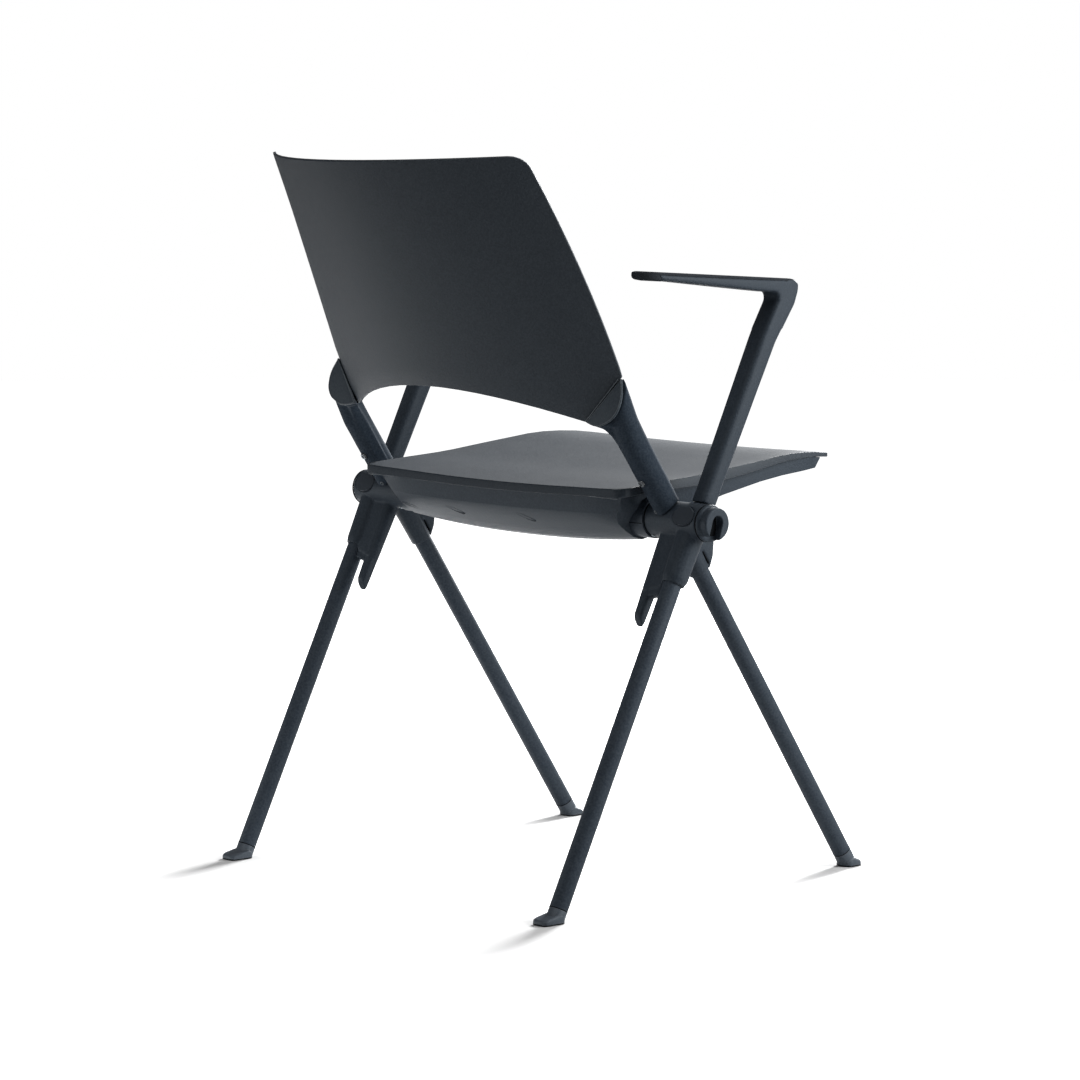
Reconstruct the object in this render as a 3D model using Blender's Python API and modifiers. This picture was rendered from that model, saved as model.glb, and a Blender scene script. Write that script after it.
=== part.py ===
import math

import bmesh
import bpy
from mathutils import Matrix, Vector

# Overall frame: +Z up, the sitter faces -Y, the sitter's left is +X, heights count from the hub axis
HUB_HEIGHT = 0.4036
SEAT_HALF_WIDTH = 0.209
SEAT_SIDE_GAP = 0.00525
UPRIGHT_DIAMETER = 0.0283
PLANE_STEP = 0.0316
INNER_PLANE = SEAT_HALF_WIDTH + SEAT_SIDE_GAP + UPRIGHT_DIAMETER / 2
OUTER_PLANE = INNER_PLANE + PLANE_STEP
FRONT_RAKE = math.radians(33.85)
REAR_RAKE = math.radians(26.38)
FIT = 0.0003
FINE = 30
CUT_SPARE = 0.02
COARSE = 20

# Leg tubes and feet
TUBE_DIAMETER = 0.020
TUBE_WALL = 0.0015
FRONT_SEAM = 0.0215
REAR_SEAM = 0.0150
STEM_LENGTH = 0.022
FOOT_WIDTH = 0.0225
FRONT_HEEL = 0.0105
REAR_HEEL = 0.0080
FRONT_TOE_REACH = 0.0125
REAR_TOE_REACH = 0.0225
TOE_HEIGHT = 0.0055
INSTEP_HEIGHT = 0.0105
FOOT_BEVEL = 0.0016
FOOT_CORNER = 0.0058
TOE_DRAFT = 0.001
SHIN_SHARE = 0.2
SOLE_TRIM = 0.005

# Hub
BARREL_DIAMETER = 0.040
BARREL_INNER_REACH = 0.0254
BARREL_OUTER_REACH = 0.0207
BARREL_INNER = INNER_PLANE - BARREL_INNER_REACH
BARREL_OUTER = OUTER_PLANE + BARREL_OUTER_REACH
BARREL_BEVEL = 0.0012
HUB_ROOM = (BARREL_INNER - CUT_SPARE, BARREL_OUTER + CUT_SPARE)
SOCKET_FLOOR = 0.026
REAR_SOCKET_LENGTH = 0.0715
REAR_SLEEVE_TOP = 0.0156
REAR_SLEEVE_LOW = 0.0139
REAR_SLEEVE_END = 0.0119
REAR_SLEEVE_CHAMFER = 0.0070
REAR_SLEEVE_SHIFT = -0.0010
REAR_LOBE_TOP = 0.0098
REAR_LOBE_END = 0.0078
REAR_WEB_TOP = 0.0086
REAR_WEB_END = 0.0060
SHOULDER_DROP = 0.0110
SLIT_START = 0.0853
SLIT_SLANT = 0.0040
SLIT_WEB_RADIUS = 0.0045
FINGER_LENGTH = 0.1208
FINGER_START = 0.056
FINGER_WIDTH = 0.0138
FINGER_TIP_WIDTH = 0.0112
FINGER_DEPTH = 0.0140
FINGER_SLANT = 0.85
FINGER_TIP_RUN = 0.012
FINGER_CORNER_SHARE = 0.30
FRONT_SOCKET_LENGTH = 0.0695
FRONT_SLEEVE_TOP = 0.0136
FRONT_SLEEVE_END = 0.0117
FRONT_SLEEVE_SHIFT = 0.0010
FIN_WIDTH = 0.0145
FIN_REACH = 0.0541
FIN_DROP = 0.0277
FIN_TIP_REACH = 0.0477
FIN_TIP_DROP = 0.0566
FIN_SLIT = 0.0012
FIN_SLIT_START = 0.050
FIN_ROOT = 0.010
FIN_BEVEL = 0.0022
FIN_CREST = ((0.010, -0.004), (0.036, 0.0055), (0.0525, 0.0165))
BACK_SPIGOT_DIAMETER = 0.0170
ARM_SPIGOT_DIAMETER = 0.0120
SPIGOT_LENGTH = 0.052
BEAM_DIAMETER = 0.030
BEAM_WALL = 0.0025
BEAM_GRIP = 0.026
PLUG_DIAMETER = 0.0215
PLUG_STRETCH = 1.45
PLUG_SHIFT = 0.0015
PLUG_TURN = math.radians(24.0)
PLUG_FACE = 0.0198
PLUG_THICKNESS = 0.0035
PLUG_BEVEL = 0.0005
LINK_STEM_DIAMETER = 0.014
LINK_STEM_LENGTH = 0.012
COLLAR_LENGTH = 0.0052
LINK_RING_DIAMETER = 0.0350
STUD_FLANGE_DIAMETER = 0.026
LINK_REACH = 0.0147
LINK_SLOT_WIDTH = 0.0148
LINK_SLOT_DEPTH = 0.0092
LINK_SLOT_RISE = 0.0015
LINK_TURN = math.radians(17.0)
STUD_NECK_DIAMETER = 0.0104
STUD_HEAD_DIAMETER = 0.0138
STUD_HEAD_LENGTH = 0.0042
STUD_BEVEL = 0.0006

# Back uprights with their heads and corner caps
UPRIGHT_SET_FORWARD = 0.0003

# Bend of the upright's head: run along the upright, shift to the front and radius
UPRIGHT_BEND = (
    (0.104, 0.0, UPRIGHT_DIAMETER / 2),
    (0.127, -0.0010, 0.0139),
    (0.149, -0.0046, 0.0138),
    (0.166, -0.0086, 0.0126),
    (0.182, -0.0134, 0.0108),
    (0.204, -0.0196, 0.0086),
)

# Corner cap outline: distance outward from the upright's axis and height
CAP_TOP = (0.0036, 0.1542)
CAP_TOE = (-0.0388, 0.1062)
CAP_LOW = (-0.0073, 0.1064)
CAP_LOW_Y = 0.0937
CAP_LEAN_X = 0.0762
CAP_LEAN_Z = -0.302
CAP_ROUND = (
    (0.0102, 0.1381),
    (0.0096, 0.1226),
    (0.0030, 0.1122),
    CAP_LOW,
    (-0.0159, 0.1033),
    (-0.0274, 0.1036),
)
CAP_THICKNESS = 0.0025
CAP_BEVEL = 0.0005
HEAD_DEPTH = 0.009
FLARE_START = 0.086
FLARE_TURN = math.radians(23.0)
FLARE_REACH = 0.0412
FLARE_HEIGHT = 0.1388
FLARE_TOP_SPARE = 0.03
FLARE_SINK = 0.001
FLARE_THICKNESS = 0.0105
TONGUE_ROOT = -0.007
TONGUE_RISE = 0.020
TONGUE_START = 0.12
TONGUE_END = 0.80
TONGUE_THICKNESS = 0.005
TONGUE_GAP = 0.0009

# Back shell
BACK_LOW = (0.1497, 0.1369)
BACK_HIGH = (0.2820, 0.3793)
BACK_BOW = 0.25
BACK_SPAN_INSET = 0.0084
BACK_SPAN = INNER_PLANE - BACK_SPAN_INSET
ARCH_DROP = 0.0436
TOP_RISE = 0.0076
EDGE_LEVEL = 0.1629
EDGE_DEPTH = (0.0827, 0.424, 0.303)
EDGE_OUTSET = 0.0046
EDGE_WIDTH = (INNER_PLANE + EDGE_OUTSET, -0.0449, -0.34)
TOP_CORNER = 0.0135
BACK_THICKNESS = 0.0034
BACK_BEVEL = 0.0009
BACK_COLUMNS = 16
BACK_ROWS = 11
CORNER_ROWS = 5

# Seat shell: side line as depth, height and thickness, front to rear
SEAT_LINE = (
    (-0.2706, 0.0546, 0.0050),
    (-0.2470, 0.0571, 0.0060),
    (-0.2170, 0.0581, 0.0070),
    (-0.1890, 0.0572, 0.0077),
    (-0.1520, 0.0530, 0.0096),
    (-0.1050, 0.0480, 0.0115),
    (-0.0560, 0.0429, 0.0112),
    (0.0045, 0.0392, 0.0100),
    (0.0586, 0.0352, 0.0093),
)
SEAT_FRONT_TAPER = 0.017
SEAT_TAPER_START = -0.100
SEAT_REAR_CORNER = 0.016
SEAT_DISH = 0.0052
SEAT_FRONT_DISH = 0.0027
SEAT_ROOM_SPARE = 0.02
SEAT_ROOM_HEIGHT = 0.08
SEAT_BEVEL = 0.0012
SEAT_TAPER_POWER = 2.4
SEAT_CORNER_ROWS = 5
SEAT_COLUMNS = 12
SEAT_ROWS = 14

# Seat pan: outer line below the seat as depth and height, front to rear
PAN_LINE = (
    (-0.2560, 0.0664),
    (-0.2535, 0.0489),
    (-0.2455, 0.0388),
    (-0.2270, 0.0368),
    (-0.1910, 0.0338),
    (-0.1560, 0.0292),
    (-0.0980, 0.0181),
    (-0.0620, 0.0064),
    (-0.0340, -0.0101),
    (-0.0150, -0.0196),
    (0.0000, -0.0224),
    (0.0130, -0.0192),
    (0.0240, -0.0124),
    (0.0350, -0.0045),
    (0.0445, 0.0033),
    (0.0468, 0.0064),
    (0.0500, 0.0150),
    (0.0528, 0.0254),
    (0.0540, 0.0664),
)
PAN_SIDE_INSET = 0.0068
PAN_HALF_WIDTH = SEAT_HALF_WIDTH - PAN_SIDE_INSET
PAN_FRONT_INSET = 0.006
PAN_TAPER_START = -0.12
PAN_HUB_INSET = 0.022
PAN_HUB_FRONT = -0.085
PAN_HUB_REACH = 0.060
PAN_HUB_TOP = 0.030
PAN_HUB_LOW = 0.0
PAN_BOSS_LENGTH = 0.036
PAN_BOSS_DIAMETER = 0.0436
PAN_OPEN_SPARE = 0.01
PAN_SAG = 0.0103
PAN_SAG_POWER = 2.2
PAN_SAG_LEVEL = 0.0264
PAN_WALL = 0.0026
PAN_STATIONS = 13

# Arm frames and pads
ARM_INNER_REACH = 0.022
ARM_WIDENING = 0.10
ARM_BASE_HALF = 0.0108
ARM_TOP_HALF = 0.0130
ARM_CORNER = 0.0035
ARM_TOP_LEVEL = 0.2534
ARM_TOP_SLOPE = 0.0640
ARM_UNDER_FRONT = -0.098
ARM_UNDER_LEVEL = 0.2396
ARM_UNDER_SLOPE = 0.1090
ARM_PAD_FRONT = -0.126
ARM_PAD_THICKNESS = 0.0018
ARM_PAD_TRIM = 0.0012
ARM_PAD_CORNER = 0.0007
ARM_PAD_END_GAP = 0.0006
ARM_PAD_STEPS = (-0.078, -0.040, 0.000)
NOSE_CORNER = 0.0026
NOSE_LEVEL_SHARE = 0.65
ARM_TIP = 0.0810
ARM_SET_FORWARD = 0.0036
ARM_END_LOW = 0.0585
ARM_END_SLANT = 0.0064
ARM_END_GAP = 0.0008

# Arm upright: run, depth to the rear, depth to the front, half width and corner
ARM_UPRIGHT = (
    (0.0, ARM_BASE_HALF, ARM_BASE_HALF, ARM_BASE_HALF, 0.0075),
    (0.100, ARM_BASE_HALF, 0.0116, 0.0116, 0.0062),
    (0.215, 0.0098, 0.0128, ARM_TOP_HALF, 0.0050),
)

# Bend from upright to armrest: inner and outer points as depth and height
ARM_BEND = (
    ((-0.1115, 0.2309), (-0.1378, 0.2254)),
    ((-0.1110, 0.2356), (-0.1428, 0.2389)),
    ((-0.1090, 0.2384), (-0.1438, 0.2474)),
    ((-0.1055, ARM_UNDER_LEVEL), (-0.1365, 0.2526)),
    ((ARM_UNDER_FRONT, ARM_UNDER_LEVEL), (ARM_PAD_FRONT, ARM_TOP_LEVEL)),
)
ARM_BEND_CORNER = 0.0045
ARM_REST = ((-0.078, 0.020), (-0.040, 0.008), (0.000, 0.0), (ARM_END_LOW, -ARM_END_SLANT))

# Rounding of the armrest's tip: distance before the tip, side inset and height share
ARM_NOSE = (
    (0.0105, 0.0015, 0.92),
    (0.0045, 0.0055, 0.74),
    (0.0014, 0.0095, 0.52),
    (0.0, 0.0130, 0.28),
)

# Colours of the surfaces, roughness and metallic share
FINISHES = {
    "shell_plastic": ((0.040, 0.046, 0.051), 0.62, 0.0),
    "frame_plastic": ((0.036, 0.042, 0.048), 0.55, 0.0),
    "leg_coat": ((0.033, 0.038, 0.044), 0.60, 0.0),
    "pad_black": ((0.012, 0.014, 0.017), 0.70, 0.0),
    "foot_plastic": ((0.034, 0.039, 0.044), 0.60, 0.0),
    "beam_coat": ((0.045, 0.047, 0.050), 0.50, 0.0),
}


def fresh_collection(name):
    made = bpy.data.collections.new(name)
    bpy.context.scene.collection.children.link(made)
    return made


def finish_material(slot):
    known = bpy.data.materials.get(slot)
    if known:
        return known
    colour, roughness, metallic = FINISHES[slot]
    made = bpy.data.materials.new(slot)
    made.use_nodes = True
    surface = made.node_tree.nodes["Principled BSDF"]
    surface.inputs["Base Color"].default_value = (*colour, 1.0)
    surface.inputs["Roughness"].default_value = roughness
    surface.inputs["Metallic"].default_value = metallic
    made.diffuse_color = (*colour, 1.0)
    return made


def object_from(bm, name, placement=Matrix.Identity(4)):
    mesh = bpy.data.meshes.new(name)
    bmesh.ops.recalc_face_normals(bm, faces=bm.faces)
    bm.to_mesh(mesh)
    bm.free()
    made = bpy.data.objects.new(name, mesh)
    made.matrix_world = placement
    PARTS.objects.link(made)
    return made


def baked(thing):
    bpy.context.view_layer.update()
    seen = thing.evaluated_get(bpy.context.evaluated_depsgraph_get())
    mesh = bpy.data.meshes.new_from_object(seen)
    mesh.transform(thing.matrix_world)
    thing.modifiers.clear()
    thing.data = mesh
    thing.matrix_world = Matrix.Identity(4)
    clean = bmesh.new()
    clean.from_mesh(mesh)
    bmesh.ops.remove_doubles(clean, verts=clean.verts, dist=0.00002)
    bmesh.ops.dissolve_degenerate(clean, edges=clean.edges, dist=0.00001)
    clean.to_mesh(mesh)
    clean.free()
    return thing


def boolean(thing, tools, operation):
    for tool in tools:
        step = thing.modifiers.new(operation.title(), "BOOLEAN")
        step.object = tool
        step.operation = operation
        step.solver = "EXACT"
        step.use_self = False
    baked(thing)
    for tool in tools:
        bpy.data.objects.remove(tool, do_unlink=True)
    return thing


def join(thing, tools):
    return boolean(thing, tools, "UNION")


def carve(thing, tools):
    return boolean(thing, tools, "DIFFERENCE")


def soften(thing, width, segments=2, angle=40.0):
    step = thing.modifiers.new("Bevel", "BEVEL")
    step.width = width
    step.segments = segments
    step.limit_method = "ANGLE"
    step.angle_limit = math.radians(angle)
    return baked(thing)


def rod(name, radius, low, high, placement, top_radius=None, sides=FINE):
    bm = bmesh.new()
    upper = radius if top_radius is None else top_radius
    bmesh.ops.create_cone(
        bm, cap_ends=True, segments=sides, radius1=radius, radius2=upper, depth=high - low,
        matrix=Matrix.Translation((0.0, 0.0, (low + high) / 2)),
    )
    return baked(object_from(bm, name, placement))


def lathe(name, profile, placement, sides=FINE):
    mesh = bpy.data.meshes.new(name)
    rows = [(radius, 0.0, height) for radius, height in profile]
    joints = [(k, (k + 1) % len(rows)) for k in range(len(rows))]
    mesh.from_pydata(rows, joints, [])
    made = bpy.data.objects.new(name, mesh)
    PARTS.objects.link(made)
    turn = made.modifiers.new("Screw", "SCREW")
    turn.axis = "Z"
    turn.angle = math.tau
    turn.steps = sides
    turn.render_steps = sides
    turn.use_merge_vertices = True
    turn.merge_threshold = 0.00001
    turn.use_normal_calculate = True
    made.matrix_world = placement
    baked(made)
    return facing_out(made)


def facing_out(thing):
    bm = bmesh.new()
    bm.from_mesh(thing.data)
    bmesh.ops.recalc_face_normals(bm, faces=bm.faces)
    bm.to_mesh(thing.data)
    bm.free()
    return thing


def in_triangles(thing):
    bm = bmesh.new()
    bm.from_mesh(thing.data)
    bmesh.ops.triangulate(bm, faces=bm.faces)
    bm.to_mesh(thing.data)
    bm.free()
    return thing


def prism(name, outline, sweep):
    bm = bmesh.new()
    face = bm.faces.new([bm.verts.new(point) for point in outline])
    grown = bmesh.ops.extrude_face_region(bm, geom=[face])
    moved = [item for item in grown["geom"] if isinstance(item, bmesh.types.BMVert)]
    bmesh.ops.translate(bm, verts=moved, vec=sweep)
    return object_from(bm, name)


def hull(name, points, placement=Matrix.Identity(4)):
    bm = bmesh.new()
    for point in points:
        bm.verts.new(point)
    result = bmesh.ops.convex_hull(bm, input=bm.verts)
    spare = [item for item in result["geom_interior"] if isinstance(item, bmesh.types.BMVert)]
    bmesh.ops.delete(bm, geom=spare, context="VERTS")
    bmesh.ops.dissolve_limit(bm, angle_limit=math.radians(0.5), verts=bm.verts, edges=bm.edges)
    return baked(object_from(bm, name, placement))


def loft(name, sections):
    bm = bmesh.new()
    rings = [[bm.verts.new(point) for point in section] for section in sections]
    count = len(rings[0])
    for near, far in zip(rings, rings[1:]):
        for k in range(count):
            bm.faces.new((near[k], near[(k + 1) % count], far[(k + 1) % count], far[k]))
    bm.faces.new(rings[0])
    bm.faces.new(rings[-1])
    return object_from(bm, name)


def sheet(name, rows):
    bm = bmesh.new()
    grid = [[bm.verts.new(point) for point in row] for row in rows]
    for low, high in zip(grid, grid[1:]):
        for k in range(len(low) - 1):
            bm.faces.new((low[k], low[k + 1], high[k + 1], high[k]))
    mesh = bpy.data.meshes.new(name)
    bm.to_mesh(mesh)
    bm.free()
    made = bpy.data.objects.new(name, mesh)
    PARTS.objects.link(made)
    return made


def thicken(thing, thickness, offset=-1.0):
    step = thing.modifiers.new("Solidify", "SOLIDIFY")
    step.thickness = thickness
    step.offset = offset
    step.use_even_offset = False
    return thing


def slice_off(thing, point, normal):
    bm = bmesh.new()
    bm.from_mesh(thing.data)
    everything = list(bm.verts) + list(bm.edges) + list(bm.faces)
    cut = bmesh.ops.bisect_plane(
        bm, geom=everything, plane_co=point, plane_no=normal, clear_outer=True, dist=0.00001,
    )
    rim = [item for item in cut["geom_cut"] if isinstance(item, bmesh.types.BMEdge)]
    bmesh.ops.triangle_fill(bm, edges=rim, use_beauty=True)
    bmesh.ops.recalc_face_normals(bm, faces=bm.faces)
    bm.to_mesh(thing.data)
    bm.free()
    return thing


def mirrored(thing, name):
    mesh = thing.data.copy()
    mesh.transform(Matrix.Diagonal((-1.0, 1.0, 1.0, 1.0)))
    mesh.flip_normals()
    made = bpy.data.objects.new(name, mesh)
    PARTS.objects.link(made)
    return made


def circle(radius, centre_x, centre_y, height, sides=COARSE):
    turns = [math.tau * k / sides for k in range(sides)]
    return [
        Vector((centre_x + radius * math.cos(a), centre_y + radius * math.sin(a), height)) for a in turns
    ]


def rounded(half_wide, half_deep, corner, steps=3):
    points = []
    for quarter in range(4):
        sign_x = 1.0 if quarter in (0, 3) else -1.0
        sign_y = 1.0 if quarter in (0, 1) else -1.0
        for k in range(steps + 1):
            turn = math.pi / 2 * (quarter + k / steps)
            points.append((
                sign_x * (half_wide - corner) + corner * math.cos(turn),
                sign_y * (half_deep - corner) + corner * math.sin(turn),
            ))
    return points


def smooth_line(table, where):
    for k in range(len(table) - 1):
        if where <= table[k + 1][0] or k == len(table) - 2:
            break
    before = table[max(k - 1, 0)]
    start = table[k]
    end = table[k + 1]
    after = table[min(k + 2, len(table) - 1)]
    span = end[0] - start[0]
    share = unit_share((where - start[0]) / span)
    answer = []
    for column in range(1, len(start)):
        slope_in = (end[column] - before[column]) / (end[0] - before[0]) * span
        slope_out = (after[column] - start[column]) / (after[0] - start[0]) * span
        a = 2 * share ** 3 - 3 * share ** 2 + 1
        b = share ** 3 - 2 * share ** 2 + share
        c = 3 * share ** 2 - 2 * share ** 3
        d = share ** 3 - share ** 2
        answer.append(a * start[column] + b * slope_in + c * end[column] + d * slope_out)
    return answer


def finish(thing, slot):
    thing.data.materials.clear()
    thing.data.materials.append(finish_material(slot))
    thing.parent = ROOT
    return thing


# Placement frames of the left side: local Z runs up the upright, down the leg
def front_frame():
    return Matrix.Translation((INNER_PLANE, 0.0, 0.0)) @ Matrix.Rotation(-FRONT_RAKE, 4, "X")


def rear_frame():
    return Matrix.Translation((OUTER_PLANE, 0.0, 0.0)) @ Matrix.Rotation(REAR_RAKE, 4, "X")


def cross_frame():
    return Matrix.Rotation(math.pi / 2, 4, "Y")


# Legs and feet
def make_leg(name, frame, rake, seam):
    outer = TUBE_DIAMETER / 2
    inner = outer - TUBE_WALL
    top = -SOCKET_FLOOR
    end = -(HUB_HEIGHT / math.cos(rake) - seam)
    return lathe(name, [(outer, top), (outer, end), (inner, end), (inner, top)], frame)


def make_foot(name, frame, rake, seam, forward, reach, back):
    floor_run = HUB_HEIGHT / math.cos(rake)
    centre = frame @ Vector((0.0, 0.0, -floor_run))
    ankle = rod(name, TUBE_DIAMETER / 2, -floor_run - TUBE_DIAMETER, -(floor_run - seam + FIT), frame)
    stem_radius = TUBE_DIAMETER / 2 - TUBE_WALL - FIT
    stem = rod("stem", stem_radius, -(floor_run - seam / 2), -(floor_run - seam - STEM_LENGTH), frame)
    side = FOOT_WIDTH / 2
    toe = centre.y + forward * reach
    heel = centre.y - forward * back
    shin = centre.y - forward * back * SHIN_SHARE
    outline = [
        Vector((centre.x - side, heel, centre.z - SOLE_TRIM)),
        Vector((centre.x - side, toe, centre.z - SOLE_TRIM)),
        Vector((centre.x - side, toe - forward * TOE_DRAFT, centre.z + TOE_HEIGHT)),
        Vector((centre.x - side, shin, centre.z + INSTEP_HEIGHT)),
        Vector((centre.x - side, heel - forward * TOE_DRAFT, centre.z + TOE_HEIGHT)),
    ]
    shoe = prism("shoe", outline, Vector((FOOT_WIDTH, 0.0, 0.0)))
    vertical = Vector((0.0, 0.0, 1.0))
    bm = bmesh.new()
    bm.from_mesh(shoe.data)
    corners = [
        edge for edge in bm.edges
        if all(min(abs(vert.co.y - toe), abs(vert.co.y - heel)) < 1.5 * TOE_DRAFT for vert in edge.verts)
        and abs((edge.verts[0].co - edge.verts[1].co).normalized().dot(vertical)) > 0.8
    ]
    bmesh.ops.bevel(bm, geom=corners, offset=FOOT_CORNER, segments=3, profile=0.5, affect="EDGES")
    bm.to_mesh(shoe.data)
    bm.free()
    soften(shoe, FOOT_BEVEL, segments=1)
    join(ankle, [shoe, stem])
    slice_off(ankle, centre, Vector((0.0, 0.0, -1.0)))
    return ankle


# Hub with its two leg sockets, stacking finger and front fin
def make_hub():
    across = cross_frame()
    front = front_frame()
    rear = rear_frame()
    lean_x = INNER_PLANE - OUTER_PLANE
    barrel = rod("hub_left", BARREL_DIAMETER / 2, BARREL_INNER, BARREL_OUTER, across)
    soften(barrel, BARREL_BEVEL, segments=1)
    chamfer = REAR_SOCKET_LENGTH - REAR_SLEEVE_CHAMFER
    shoulder = REAR_SOCKET_LENGTH + SHOULDER_DROP
    sleeve = hull("sleeve", circle(REAR_SLEEVE_TOP, 0.0, REAR_SLEEVE_SHIFT, 0.0)
                  + circle(REAR_SLEEVE_LOW, 0.0, REAR_SLEEVE_SHIFT, -chamfer)
                  + circle(REAR_SLEEVE_END, 0.0, REAR_SLEEVE_SHIFT / 2, -REAR_SOCKET_LENGTH), rear)
    beside = rear @ Matrix.Translation((lean_x, REAR_SLEEVE_SHIFT, 0.0))
    lobe = rod("lobe", REAR_LOBE_END, -shoulder, 0.0, beside, top_radius=REAR_LOBE_TOP, sides=COARSE)
    web = hull("web", circle(REAR_WEB_TOP, lean_x, 0.0, 0.0) + circle(REAR_WEB_TOP, 0.0, 0.0, 0.0)
               + circle(REAR_WEB_END, 0.0, 0.0, -REAR_SOCKET_LENGTH)
               + circle(REAR_WEB_END, lean_x, 0.0, -shoulder), rear)
    near_tube = -TUBE_DIAMETER / 2 - SLIT_WEB_RADIUS / 2
    slit_web = hull("slit web", circle(SLIT_WEB_RADIUS, lean_x, 0.0, -FINGER_START)
                    + circle(SLIT_WEB_RADIUS, near_tube, 0.0, -FINGER_START)
                    + circle(SLIT_WEB_RADIUS, lean_x, 0.0, -SLIT_START - SLIT_SLANT)
                    + circle(SLIT_WEB_RADIUS, near_tube, 0.0, -SLIT_START), rear)
    finger = loft("finger", finger_sections())
    finger.matrix_world = beside
    baked(finger)
    front_sleeve = hull("front sleeve", circle(FRONT_SLEEVE_TOP, 0.0, 0.0, 0.0)
                        + circle(FRONT_SLEEVE_END, 0.0, FRONT_SLEEVE_SHIFT, -FRONT_SOCKET_LENGTH), front)
    fin = make_fin()
    back_spigot = rod("back spigot", BACK_SPIGOT_DIAMETER / 2, 0.0, SPIGOT_LENGTH, front, sides=COARSE)
    arm_spigot = rod("arm spigot", ARM_SPIGOT_DIAMETER / 2, 0.0, SPIGOT_LENGTH, rear, sides=COARSE)
    join(barrel, [sleeve, lobe, web, slit_web, finger, front_sleeve, fin, back_spigot, arm_spigot])
    bore = TUBE_DIAMETER / 2 + FIT
    deep = -SOCKET_FLOOR + FIT
    past = -FINGER_LENGTH - CUT_SPARE
    rear_bore = rod("rear bore", bore, past, deep, rear)
    front_bore = rod("front bore", bore, past, deep, front)
    beam_bore = rod("beam bore", BEAM_DIAMETER / 2 + FIT, BARREL_INNER - CUT_SPARE,
                    BARREL_INNER + BEAM_GRIP + FIT, across)
    link_bore = rod("link bore", LINK_STEM_DIAMETER / 2 + FIT, BARREL_OUTER - LINK_STEM_LENGTH - FIT,
                    BARREL_OUTER + CUT_SPARE, across, sides=COARSE)
    plug_bore = plug_solid("plug bore", FIT, PLUG_FACE + CUT_SPARE)
    carve(barrel, [rear_bore, front_bore, beam_bore, link_bore, plug_bore])
    return barrel


def finger_sections():
    sections = []
    steps = (
        (FINGER_START, FINGER_WIDTH * 1.06, 1.0),
        (REAR_SOCKET_LENGTH + FINGER_TIP_RUN / 2, FINGER_WIDTH, 0.96),
        (FINGER_LENGTH - FINGER_TIP_RUN, FINGER_TIP_WIDTH * 1.06, 0.86),
        (FINGER_LENGTH - FINGER_TIP_RUN / 3, FINGER_TIP_WIDTH, 0.80),
        (FINGER_LENGTH - FINGER_TIP_RUN / 12, FINGER_TIP_WIDTH * 0.94, 0.74),
        (FINGER_LENGTH, FINGER_TIP_WIDTH * 0.80, 0.62),
    )
    for run, width, share in steps:
        deep = FINGER_DEPTH * share
        slant = FINGER_SLANT * max(run - FINGER_LENGTH + FINGER_TIP_RUN, 0.0) / FINGER_TIP_RUN
        ring = []
        for x, y in rounded(width / 2, deep / 2, width * FINGER_CORNER_SHARE):
            ring.append(Vector((x, y, -run + slant * (y + deep / 2))))
        sections.append(ring)
    return sections


def make_fin():
    slope = Vector((0.0, -math.sin(FRONT_RAKE), -math.cos(FRONT_RAKE)))
    across = Vector((0.0, -math.cos(FRONT_RAKE), math.sin(FRONT_RAKE)))
    centre = Vector((INNER_PLANE - FIN_WIDTH / 2, 0.0, 0.0))
    inside = TUBE_DIAMETER / 2 + FIN_SLIT
    half_way = (FIN_DROP + FIN_TIP_DROP) / 2
    nose = ((FIN_REACH, FIN_DROP), (FIN_REACH - FIN_SLIT, half_way), (FIN_TIP_REACH, FIN_TIP_DROP))
    outline = [centre + Vector((0.0, -reach, -drop)) for reach, drop in (*FIN_CREST, *nose)]
    outline += [
        centre + slope * (FRONT_SOCKET_LENGTH - FIN_ROOT / 2) + across * inside,
        centre + slope * FIN_SLIT_START + across * inside,
        centre + slope * FIN_SLIT_START + across * inside / 2,
        centre + slope * FIN_ROOT,
    ]
    fin = prism("fin", outline, Vector((FIN_WIDTH, 0.0, 0.0)))
    return soften(fin, FIN_BEVEL, segments=2, angle=60.0)


def plug_frame():
    turn = Matrix.Rotation(PLUG_TURN - math.pi / 2, 4, "X")
    return Matrix.Translation((OUTER_PLANE + PLUG_SHIFT, 0.0, 0.0)) @ turn


def plug_solid(name, spare, face):
    long = Matrix.Diagonal((PLUG_STRETCH, 1.0, 1.0, 1.0))
    low = PLUG_FACE - PLUG_THICKNESS - spare
    return rod(name, PLUG_DIAMETER / 2 + spare, low, face, plug_frame() @ long, sides=COARSE)


def make_plug():
    return soften(plug_solid("hub_plug_left", 0.0, PLUG_FACE), PLUG_BEVEL, segments=1)


def make_link_socket():
    across = cross_frame()
    socket = link_base("link_socket", across, BARREL_DIAMETER)
    ring = rod("ring", LINK_RING_DIAMETER / 2, BARREL_OUTER + COLLAR_LENGTH / 2,
               BARREL_OUTER + LINK_REACH, across)
    soften(ring, BARREL_BEVEL, segments=1)
    join(socket, [ring])
    width = LINK_SLOT_WIDTH / 2
    face = BARREL_OUTER + LINK_REACH
    turned = Matrix.Rotation(LINK_TURN, 4, "X")
    depth = face - LINK_SLOT_DEPTH
    outline = []
    for k in range(COARSE // 2 + 1):
        turn = math.tau * k / COARSE
        rim = Vector((depth, width * math.cos(turn), width * math.sin(turn) + LINK_SLOT_RISE))
        outline.append(turned @ rim)
    outline.append(turned @ Vector((depth, -width, -LINK_RING_DIAMETER)))
    outline.append(turned @ Vector((depth, width, -LINK_RING_DIAMETER)))
    slot = prism("slot", outline, Vector((CUT_SPARE, 0.0, 0.0)))
    carve(socket, [slot])
    return mirrored_in_place(socket)


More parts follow.
